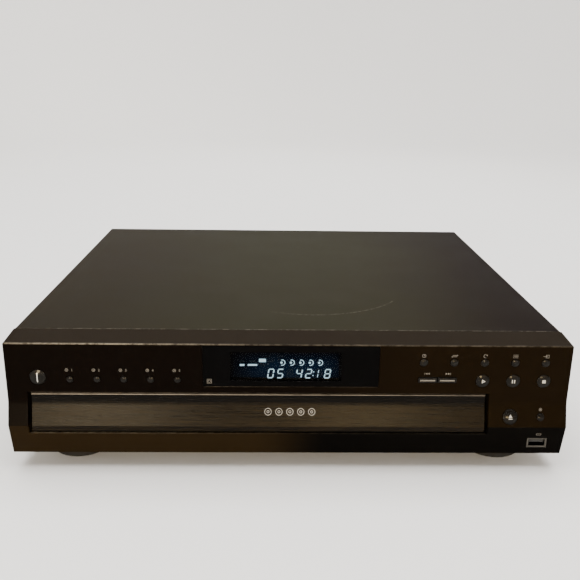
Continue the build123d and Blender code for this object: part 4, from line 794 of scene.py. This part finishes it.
@dataclass
class Stencil:
    """Flat marks drawn in millimetres, then laid as a thin film on whatever is under them."""

    facing: Facing = Facing.FRONT
    film: float = 0.00004
    shape: Shape = field(default_factory=bmesh.new)

    def bar(self, x: float, y: float, width: float, height: float, turn: float = 0.0, parts: int = 1) -> None:
        """Draws a filled bar.

        Args:
            x: its middle across.
            y: its middle up.
            width: its width before it is turned.
            height: its height before it is turned.
            turn: degrees anticlockwise.
            parts: how many lengths it is made of, so that it can follow a curve.
        """
        place = Matrix.Translation((x, y, 0)) @ Matrix.Rotation(math.radians(turn), 4, "Z")
        size = Matrix.Diagonal((width / 2, height / 2, 1, 1))
        bmesh.ops.create_grid(self.shape, x_segments=parts, y_segments=parts, size=1.0, matrix=place @ size)

    def spot(self, x: float, y: float, radius: float, sides: int = 20, turn: float = 0.0) -> None:
        """Draws a filled disc, or a triangle where it has three sides.

        Args:
            x: its middle across.
            y: its middle up.
            radius: its radius.
            sides: how many sides it has.
            turn: degrees anticlockwise.
        """
        place = Matrix.Translation((x, y, 0)) @ Matrix.Rotation(math.radians(turn), 4, "Z")
        bmesh.ops.create_circle(self.shape, cap_ends=True, segments=sides, radius=radius, matrix=place)

    def ring(
        self, x: float, y: float, radius: float, line: float, start: float = 0.0, sweep: float = 360.0
    ) -> None:
        """Draws a ring or an arc by turning a short line about its middle.

        Args:
            x: its middle across.
            y: its middle up.
            radius: its outer radius.
            line: the line's width.
            start: where it begins, in degrees.
            sweep: how far it goes, in degrees.
        """
        begin = Vector((math.cos(math.radians(start)), math.sin(math.radians(start)), 0))
        ends = [self.shape.verts.new(Vector((x, y, 0)) + begin * r) for r in (radius - line, radius)]
        edge = self.shape.edges.new(ends)
        bmesh.ops.spin(
            self.shape, geom=[*ends, edge], cent=(x, y, 0), axis=(0, 0, 1), angle=math.radians(sweep),
            steps=max(6, round(sweep / 12)), use_merge=sweep >= 360.0,
        )

    def frame_of(self, x: float, y: float, width: float, height: float, line: float) -> None:
        """Draws the four sides of a rectangle.

        Args:
            x: its middle across.
            y: its middle up.
            width: its outer width.
            height: its outer height.
            line: the line's width.
        """
        for side in (-1, 1):
            self.bar(x, y + side * (height - line) / 2, width, line)
            self.bar(x + side * (width - line) / 2, y, line, height - 2 * line)

    def figures(self, text: str, x: float, y: float, height: float) -> None:
        """Draws plain figures in the built-in face.

        Args:
            text: the figures.
            x: their middle across.
            y: their foot.
            height: how high they stand.
        """
        curve = bpy.data.curves.new("figures", "FONT")
        curve.body, curve.size, curve.align_x = text, height / 0.7, "CENTER"
        curve.resolution_u = 3
        holder = bpy.data.objects.new("figures", curve)
        mesh = bpy.data.meshes.new_from_object(holder)
        mesh.transform(Matrix.Translation((x, y, 0)))
        self.shape.from_mesh(mesh)
        bpy.data.objects.remove(holder)
        bpy.data.curves.remove(curve)
        bpy.data.meshes.remove(mesh)

    def lean(self, foot: float, angle: float) -> None:
        """Leans everything drawn so far to the right.

        Args:
            foot: the height that stays where it is.
            angle: degrees from upright.
        """
        for vert in self.shape.verts:
            vert.co.x += (vert.co.y - foot) * math.tan(math.radians(angle))

    def lay(self, name: str, body: str, finish: Look, under: Union[Piece, float]) -> Piece:
        """Lays the film on a surface and gives it its thickness.

        Args:
            name: the piece's name.
            body: the body that it rides on.
            finish: its finish.
            under: the piece that it lies on, or the distance of a flat surface from the origin.

        Returns:
            The piece.
        """
        turn = self.facing.matrix()
        out = turn.to_3x3() @ Vector((0, 0, 1))
        bmesh.ops.remove_doubles(self.shape, verts=self.shape.verts, dist=0.001)
        bmesh.ops.transform(self.shape, matrix=turn @ Matrix.Scale(MM, 4), verts=self.shape.verts)
        tree = tree_of(under) if isinstance(under, Piece) else None
        for vert in self.shape.verts:
            if tree is None:
                vert.co = vert.co - out * out.dot(vert.co) + out * (under + self.film)
                continue
            start = vert.co + out * 0.5
            hit = tree.ray_cast(start, -out, 1.0)[0]
            if hit is not None:
                vert.co = hit + out * self.film
        thicken(self.shape, -out * (self.film * 0.8))
        return settle(self.shape, name, body, finish)


# --- the front
@dataclass
class Front:
    """The moulded front with its window, its marks and the lit display. Marks are in millimetres."""

    mask_inset: float = 0.003
    mask_gap: float = 0.0019
    mask_depth: float = 0.0004
    hole_sides: tuple[float, float] = (0.0015, -0.0015)
    hole_ends: tuple[float, float] = (-0.0005, -0.0015)
    label_line: float = 0.34
    disc_labels: float = 84.0
    mode_labels: float = 98.0
    skip_labels: float = 83.4
    record_label: float = 54.3
    socket_label: float = 34.2
    window_mark: tuple[float, float] = (-61.5, 76.4)
    shown: str = "05 4218"
    first_digit: tuple[float, float] = (-14.87, 80.9)
    digit_pitch: float = 7.24
    digit_lean: float = 9.0
    first_disc: tuple[float, float] = (-6.3, 89.9)
    disc_pitch: float = 7.19
    lit_bars: tuple[tuple[float, float, float, float], ...] = (
        (-36.8, 87.8, 3.5, 1.5), (-28.9, 87.9, 7.2, 1.4), (-21.3, 91.6, 5.3, 2.7),
    )
    resting_bars: tuple[tuple[float, float, float, float], ...] = (
        (-36.9, 91.1, 3.3, 1.3), (-28.9, 91.0, 4.4, 1.3), (-14.6, 90.9, 4.2, 1.3), (-21.3, 87.9, 4.6, 1.0),
    )
    panel: Union[Piece, None] = None

    def mesh(self) -> None:
        """Builds the panel, the lens and the mask round the display tube."""
        self.panel = refine("front_panel", Look.FRONT, 0.00022)
        refine("display_window", Look.LENS, 0.00025)
        mask, inset = bmesh.new(), self.mask_inset
        low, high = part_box("display_window")
        tube_low, tube_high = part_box("display_tube")
        middle = (low + high) / 2
        size = Matrix.Diagonal(((high.x - low.x) / 2 - inset, 1, (high.z - low.z) / 2 - inset, 1))
        place = Matrix.Translation((middle.x, tube_low.y - self.mask_gap, middle.z)) @ size
        upright = place @ Matrix.Rotation(math.pi / 2, 4, "X")
        bmesh.ops.create_grid(mask, x_segments=1, y_segments=1, size=1.0, matrix=upright)
        cuts = [((end.x + lap, 0, 0), (1, 0, 0)) for end, lap in zip((tube_low, tube_high), self.hole_sides)]
        cuts += [((0, 0, end.z + lap), (0, 0, 1)) for end, lap in zip((tube_low, tube_high), self.hole_ends)]
        for point, normal in cuts:
            whole = [*mask.verts, *mask.edges, *mask.faces]
            bmesh.ops.bisect_plane(mask, geom=whole, plane_co=point, plane_no=normal)
        hole = [
            face for face in mask.faces
            if tube_low.x < face.calc_center_median().x < tube_high.x
            and tube_low.z < face.calc_center_median().z < tube_high.z
        ]
        bmesh.ops.delete(mask, geom=hole, context="FACES")
        thicken(mask, Vector((0, self.mask_depth, 0)))
        settle(mask, "window_mask", "cabinet", Look.MASK)
        log.info("front panel, lens and mask")

    def dress(self) -> None:
        """Prints the marks, lights the display and finishes what lies behind the front."""
        self.marks()
        self.display()
        paint("display_tube", Look.TUBE)
        paint("panel_boards", Look.BOARD)
        paint("key_switches", Look.BLACK)
        paint("usb_tongue", Look.BLACK)
        refine("usb_socket_shell", Look.SHELL, 0.00012)

    def marks(self) -> None:
        """Prints the figures and symbols on the panel."""
        ink, line = Stencil(), self.label_line
        for number in range(1, 6):
            x, z = middle_of(f"disc_{number}_button")[0], self.disc_labels
            ink.ring(x - 2.1, z + 1.0, 1.25, line)
            ink.spot(x - 2.1, z + 1.0, 0.4)
            ink.figures(str(number), x + 1.9, z, 2.0)
        self.mode_marks(ink)
        for side, name in ((-1, "skip_back_button"), (1, "skip_forward_button")):
            x, z = middle_of(name)[0], self.skip_labels
            ink.bar(x + side * 2.4, z, line, 1.7)
            for shift in (-0.9, 0.9):
                ink.spot(x + side * shift, z, 1.0, 3, -90 * side)
        x, z = middle_of("record_button")[0], self.record_label
        ink.ring(x, z, 1.2, line)
        ink.spot(x, z, 0.5)
        ink.frame_of(middle_of("usb_socket_shell")[0], self.socket_label, 3.6, 1.5, 0.26)
        ink.lay("panel_marks", "cabinet", Look.INK, self.panel)
        small = Stencil()
        small.frame_of(*self.window_mark, 3.6, 3.6, 0.3)
        small.ring(*self.window_mark, 1.1, 0.3)
        small.lay("window_mark", "cabinet", Look.INK, -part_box("display_window")[0].y)

    def mode_marks(self, ink: Stencil) -> None:
        """Draws the symbols over the five mode keys.

        Args:
            ink: the stencil of the panel's marks.
        """
        line, z = self.label_line, self.mode_labels
        time, mode, repeat, edit, source = (
            middle_of(f"{name}_button")[0] for name in ("time", "mode", "repeat", "edit", "source")
        )
        ink.ring(time, z, 1.5, line)
        ink.bar(time, z + 0.45, line, 0.9)
        ink.bar(time + 0.4, z, 0.9, line)
        for side in (-1, 1):
            ink.bar(mode, z + side * 0.55, 3.4, line)
            ink.spot(mode + side * 1.9, z + side * 0.55, 0.7, 3, -90 * side)
        ink.ring(repeat, z, 1.5, line, 30, 270)
        ink.spot(repeat + 1.2, z + 0.7, 0.75, 3, 200)
        for lift in (-1.1, 0.0, 1.1):
            ink.bar(edit + 0.4, z + lift, 2.8, line)
            ink.spot(edit - 1.7, z + lift, 0.32, 10)
        ink.frame_of(source + 0.8, z, 2.6, 2.6, line)
        ink.bar(source - 1.4, z, 2.2, line)
        ink.spot(source + 0.1, z, 0.8, 3, -90)

    def display(self) -> None:
        """Draws the lit and resting figures on the tube."""
        strokes = {
            "top": (0.0, 3.5, 3.5, 0.85), "middle": (0.0, 0.0, 3.1, 0.75), "foot": (0.0, -3.5, 3.5, 0.85),
            "top_left": (-1.95, 1.8, 0.9, 2.7), "top_right": (1.95, 1.8, 0.9, 2.7),
            "low_left": (-1.95, -1.8, 0.9, 2.7), "low_right": (1.95, -1.8, 0.9, 2.7),
            "rise": (0.0, 1.8, 0.6, 2.3), "fall": (0.0, -1.8, 0.6, 2.3),
        }
        on = {
            "0": "top foot top_left top_right low_left low_right", "5": "top middle foot top_left low_right",
            "4": "middle top_left top_right low_right", "2": "top middle foot top_right low_left",
            "1": "rise fall", "8": "top middle foot top_left top_right low_left low_right", " ": "",
        }
        lit, resting = Stencil(), Stencil()
        start, z = self.first_digit
        for place, sign in enumerate(self.shown):
            x = start + place * self.digit_pitch
            for name, (dx, dy, width, height) in strokes.items():
                target = lit if name in on[sign].split() else resting
                target.bar(x + dx, z + dy, width, height)
        for lift in (-1.5, 1.5):
            lit.spot(start + 4.5 * self.digit_pitch, z + lift, 0.45)
        for target in (lit, resting):
            target.lean(z, self.digit_lean)
        start, z = self.first_disc
        for place in range(5):
            x = start + place * self.disc_pitch
            lit.ring(x, z, 2.5, 0.6, 250, 220)
            lit.spot(x - 0.5, z, 0.9)
        flat = -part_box("display_tube")[0].y
        for target, bars, name, finish in (
            (lit, self.lit_bars, "display_lit", Look.LIT),
            (resting, self.resting_bars, "display_resting", Look.UNLIT),
        ):
            for bar in bars:
                target.bar(*bar)
            target.lay(name, "cabinet", finish, flat)


# --- the keys
class Symbol(Enum):
    """What a key carries on its face."""

    NONE = 0
    PLAY = 1
    PAUSE = 2
    STOP = 3
    OPEN = 4
    POWER = 5


@dataclass
class RoundKey:
    """A domed key in its hole, with its flange and stem behind the panel."""

    node: str
    symbol: Symbol = Symbol.NONE
    dome: float = 0.0008
    slanted: bool = False
    slant: float = 0.2798
    slant_rise: float = 0.2873
    slant_depth: float = 0.0035
    corner: float = 0.0004
    stem: float = 0.0013
    flange_margin: float = 0.001
    flange_lap: float = 0.0009
    flange_depth: float = 0.0012
    flange_y: float = -0.1905
    steps: int = 48

    def mesh(self) -> Piece:
        """Turns the key's outline about its stem, and leans the face of a slanted key.

        Returns:
            The key.
        """
        low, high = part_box(self.node)
        x, z = (low.x + high.x) / 2, (low.z + high.z) / 2
        radius = (high.x - low.x) / 2 - self.flange_margin
        side, back = radius + self.flange_lap, self.flange_y + self.flange_depth
        tip = low.y + (radius * math.tan(self.slant) if self.slanted else 0.0)
        rim = tip + self.dome
        outline = [(0.0, high.y), (self.stem, high.y), (self.stem, back), (side, back)]
        outline += [(side, self.flange_y), (radius, self.flange_y), (radius, rim + self.corner)]
        for step in range(1, 4):
            turn = step / 4 * math.pi / 2
            rounded = radius - self.corner * (1 - math.cos(turn))
            outline.append((rounded, rim + self.corner * (1 - math.sin(turn))))
        for step in range(7):
            share = 1 - step / 6
            outline.append(((radius - self.corner) * share, tip + self.dome * share * share))
        shape = bmesh.new()
        verts = [shape.verts.new((x + reach, y, z)) for reach, y in outline]
        edges = [shape.edges.new(pair) for pair in zip(verts, verts[1:])]
        bmesh.ops.spin(
            shape, geom=[*verts, *edges], cent=(x, 0, z), axis=(0, 1, 0), angle=math.tau, steps=self.steps,
            use_merge=True,
        )
        for vert in shape.verts:
            if self.slanted and vert.co.y < tip + self.slant_depth:
                vert.co.y += (vert.co.z - z) * self.slant_rise
        return settle(shape, f"{self.node}_cap", self.node, Look.KEY)

    def dress(self, key: Piece) -> None:
        """Puts the key's symbol on it and hides the plain node.

        Args:
            key: the finished key.
        """
        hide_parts(self.node)
        if self.symbol is Symbol.NONE:
            return
        ribbed = self.symbol is Symbol.POWER
        x, z = middle_of(self.node)
        ink = Stencil(film=0.00035 if ribbed else 0.00012)
        if ribbed:
            ink.bar(x, z, 0.7, 7.6, parts=6)
        elif self.symbol is Symbol.PLAY:
            ink.spot(x + 0.2, z, 1.9, 3, -90)
        elif self.symbol is Symbol.PAUSE:
            for side in (-1, 1):
                ink.bar(x + side * 0.85, z, 0.8, 2.8)
        elif self.symbol is Symbol.STOP:
            ink.bar(x, z, 2.6, 2.6, parts=2)
        elif self.symbol is Symbol.OPEN:
            ink.spot(x, z + 0.5, 1.7, 3)
            ink.bar(x, z - 1.3, 3.0, 0.6)
        ink.lay(f"{self.node}_symbol", self.node, Look.RIB if ribbed else Look.BRIGHT_INK, key)


@dataclass
class Keys:
    """All eighteen keys."""

    ridge_inset: float = 3.2
    ridge_height: float = 1.1
    round_keys: list[RoundKey] = field(default_factory=lambda: [
        RoundKey("power_button", Symbol.POWER, 0.0009),
        *[RoundKey(f"disc_{number}_button", dome=0.0005) for number in range(1, 6)],
        *[RoundKey(f"{name}_button", dome=0.0005) for name in ("time", "mode", "repeat", "edit", "source")],
        RoundKey("play_button", Symbol.PLAY),
        RoundKey("pause_button", Symbol.PAUSE),
        RoundKey("stop_button", Symbol.STOP),
        RoundKey("open_close_button", Symbol.OPEN, slanted=True),
        RoundKey("record_button", dome=0.0004, slanted=True),
    ])

    def mesh(self) -> None:
        """Builds every key and its symbol."""
        for key in self.round_keys:
            key.dress(key.mesh())
            log.info("key %s", key.node)
        for node in ("skip_back_button", "skip_forward_button"):
            key = refine(node, Look.KEY, 0.00035, 3)
            low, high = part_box(node)
            ridge = Stencil(film=0.0002)
            width = (high.x - low.x) / MM - self.ridge_inset
            ridge.bar(*middle_of(node), width, self.ridge_height, parts=3)
            ridge.lay(f"{node}_ridge", node, Look.INK, key)
            log.info("key %s", node)


# --- the cabinet
@dataclass
class Cabinet:
    """The cover, chassis, back, feet and rear sockets. The crosses of painted shade in the screw recesses are
    in millimetres.
    """

    screw_place: tuple[float, float] = (170.0, 101.5)
    cross_size: tuple[float, float] = (3.0, 0.7)
    pieces: tuple[tuple[str, Look, float, int], ...] = (
        ("top_cover", Look.COVER, 0.00025, 2), ("back_panel", Look.BACK, 0.0002, 2),
        ("feet", Look.RUBBER, 0.0009, 3), ("cover_screws", Look.SCREW, 0.0003, 2),
        ("line_out_block", Look.BLACK, 0.0003, 2), ("line_out_shells", Look.PLATED, 0.00012, 2),
        ("line_out_insulators", Look.INSULATOR, 0.00015, 2), ("optical_socket", Look.BLACK, 0.0003, 2),
        ("optical_shutter", Look.BLACK, 0.0001, 2), ("cord_gland", Look.BLACK, 0.0003, 2),
    )

    def dress(self) -> None:
        """Look the cabinet's pieces, with a dark cross on each rear screw as painted shade in its driver
        recess.
        """
        for node, finish, edge, segments in self.pieces:
            refine(node, finish, edge, segments)
        paint("chassis", Look.ZINC)
        # Near-black film crosses on the rear screws: painted shade standing in for the driver recesses.
        rear = Stencil(Facing.BACK)
        for side in (-1, 1):
            for turn in (0, 90):
                rear.bar(side * self.screw_place[0], self.screw_place[1], *self.cross_size, turn)
        rear.lay("rear_screw_recess_shade", "cabinet", Look.MASK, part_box("cover_screws")[1].y)
        log.info("cabinet's pieces %d", len(self.pieces))


# --- the drawer
@dataclass
class Drawer:
    """The drawer, its front and the carousel. Marks are in millimetres."""

    marks_z: float = 52.0
    marks_pitch: float = 8.4
    carousel_middle: tuple[float, float] = (-23.0, -18.0)
    figure_circle: float = 42.0
    figure_height: float = 6.0

    def mesh(self) -> None:
        """Refines the drawer's pieces and prints its marks."""
        front = refine("tray_front", Look.DRAWER, 0.00035, 3)
        refine("disc_tray", Look.TRAY, 0.0004)
        carousel = refine("carousel", Look.TRAY, 0.0004)
        rings = Stencil()
        for place in range(5):
            x = (place - 2) * self.marks_pitch
            rings.ring(x, self.marks_z, 2.7, 0.34)
            rings.ring(x, self.marks_z, 1.0, 0.3)
        rings.lay("drawer_marks", "drawer", Look.BRIGHT_INK, front)
        numbers = Stencil(Facing.TOP)
        for place in range(5):
            turn = math.radians(126 + 72 * place)
            x = self.carousel_middle[0] + self.figure_circle * math.cos(turn)
            y = self.carousel_middle[1] + self.figure_circle * math.sin(turn) - self.figure_height / 2
            numbers.figures(str(place + 1), x, y, self.figure_height)
        numbers.lay("carousel_figures", "carousel", Look.INK, carousel)
        log.info("drawer, carousel and their marks")

    def dress(self) -> None:
        """Look the drawer's drive."""
        refine("carousel_drive_gear", Look.ACETAL, 0.0001, 1)
        refine("carousel_motor_pinion", Look.ACETAL, 0.0)
        paint("carousel_motor", Look.ZINC)


# --- what is inside
@dataclass
class Works:
    """The loader, pickup unit, clamp and electronics inside the cabinet."""

    painted: dict[Look, str] = field(default_factory=lambda: {
        Look.BLACK: "loader_frame pickup_frame spindle_hub pickup_sled",
        Look.ACETAL: "tray_gear drive_pulley motor_pulley chucking_pulley sled_gear",
        Look.ZINC: "loading_motor chucking_bracket spindle_motor sled_motor",
        Look.PLATED: "guide_rods", Look.BELT: "drive_belt", Look.CORE: "transformer_core",
        Look.COIL: "transformer_coil", Look.BOARD: "main_board",
    })

    def dress(self) -> None:
        """Finishes every inner piece."""
        for finish, nodes in self.painted.items():
            for node in nodes.split():
                paint(node, finish)
        log.info("inner pieces finished")


# --- the studio
@dataclass(frozen=True)
class SoftBox:
    """A rectangular soft light that faces a point."""

    name: str
    place: Colour
    target: Colour
    size: tuple[float, float]
    power: float
    shade: Colour = (1.0, 1.0, 1.0)

    def light(self) -> None:
        """Hangs the light."""
        lamp = bpy.data.lights.new(self.name, "AREA")
        lamp.shape, lamp.size, lamp.size_y = "RECTANGLE", *self.size
        lamp.energy, lamp.color = self.power, self.shade
        holder = bpy.data.objects.new(self.name, lamp)
        bpy.context.scene.collection.objects.link(holder)
        holder.location = self.place
        holder.rotation_euler = (Vector(self.target) - Vector(self.place)).to_track_quat("-Z", "Y").to_euler()


@dataclass
class Studio:
    """The camera, the pale floor that sweeps up behind, and the soft light."""

    lens: float = 45.71
    eye: Colour = (-0.01446, -0.70815, 0.30862)
    yaw: float = -0.02559
    pitch: float = 0.29994
    roll: float = -0.01532
    floor_radius: float = 2.2
    sweep_radius: float = 1.5
    wall_height: float = 2.5
    room: Colour = (0.17, 0.16, 0.145)
    boxes: tuple[SoftBox, ...] = (
        SoftBox("overhead", (0.0, -0.2, 2.6), (0.0, 0.0, 0.0), (3.4, 3.0), 175.0, (1.0, 0.99, 0.97)),
        SoftBox("rear", (-0.4, 1.9, 1.3), (-0.1, 2.4, 0.3), (2.4, 0.8), 14.0, (1.0, 0.96, 0.88)),
        SoftBox("warm_front", (0.0, -1.75, 0.22), (0.0, -0.2, 0.05), (2.6, 0.30), 6.0, (1.0, 0.68, 0.36)),
        SoftBox("warm_left", (-0.46, -1.5, 0.17), (-0.15, -0.2, 0.05), (0.24, 0.14), 7.5, (1.0, 0.80, 0.50)),
        SoftBox("warm_right", (0.20, -1.5, 0.17), (0.05, -0.2, 0.05), (0.20, 0.14), 5.0, (1.0, 0.74, 0.38)),
        SoftBox("lamp", (-0.45, -1.1, 0.36), (0.1, -0.2, 0.06), (0.05, 0.05), 1.3, (1.0, 0.93, 0.82)),
    )

    def camera(self) -> None:
        """Sets the camera at the photograph's angle."""
        flat = math.cos(self.pitch)
        forward = Vector((-math.sin(self.yaw) * flat, math.cos(self.yaw) * flat, -math.sin(self.pitch)))
        level = Vector((math.cos(self.yaw), math.sin(self.yaw), 0.0))
        down = forward.cross(level)
        right = level * math.cos(self.roll) + down * math.sin(self.roll)
        below = down * math.cos(self.roll) - level * math.sin(self.roll)
        camera = bpy.data.cameras.new("camera")
        camera.lens, camera.sensor_width, camera.clip_start, camera.clip_end = self.lens, 36.0, 0.01, 50.0
        holder = bpy.data.objects.new("camera", camera)
        bpy.context.scene.collection.objects.link(holder)
        turn = Matrix((right, -below, -forward)).transposed()
        holder.matrix_world = Matrix.Translation(self.eye) @ turn.to_4x4()
        bpy.context.scene.camera = holder

    def backdrop(self) -> None:
        """Lays the round floor that sweeps up all the way round, and sets the room's light."""
        sweep = bmesh.new()
        rim = sweep.verts.new((0.0, self.floor_radius, 0.0))
        sweep.edges.new((sweep.verts.new((0.0, 0.0, 0.0)), rim))
        bend = bmesh.ops.spin(
            sweep, geom=[rim], cent=(0, self.floor_radius, self.sweep_radius), axis=(1, 0, 0), steps=20,
            angle=math.pi / 2, use_merge=False,
        )["geom_last"]
        top = next(part for part in bend if isinstance(part, bmesh.types.BMVert))
        sweep.edges.new((top, sweep.verts.new(top.co + Vector((0, 0, self.wall_height)))))
        bmesh.ops.spin(
            sweep, geom=[*sweep.verts, *sweep.edges], cent=(0, 0, 0), axis=(0, 0, 1), steps=96,
            angle=math.tau, use_merge=True,
        )
        bmesh.ops.remove_doubles(sweep, verts=sweep.verts, dist=1e-5)
        bmesh.ops.recalc_face_normals(sweep, faces=sweep.faces)
        piece_of(sweep, "floor", Look.FLOOR, 180)
        world = bpy.data.worlds.new("room")
        bpy.context.scene.world = world
        world.use_nodes = True
        world.node_tree.nodes["Background"].inputs[0].default_value = rgba(self.room)

    def build(self) -> None:
        """Sets up the whole studio."""
        self.camera()
        self.backdrop()
        for box in self.boxes:
            box.light()
        log.info("studio with %d lights", len(self.boxes))


def main() -> None:
    """Builds every sub-assembly in order."""
    logging.basicConfig(level=logging.INFO, format="%(name)s: %(message)s")
    Studio().build()
    front = Front()
    front.mesh()
    front.dress()
    Keys().mesh()
    Cabinet().dress()
    drawer = Drawer()
    drawer.mesh()
    drawer.dress()
    Works().dress()


if __name__ == "__main__":
    main()
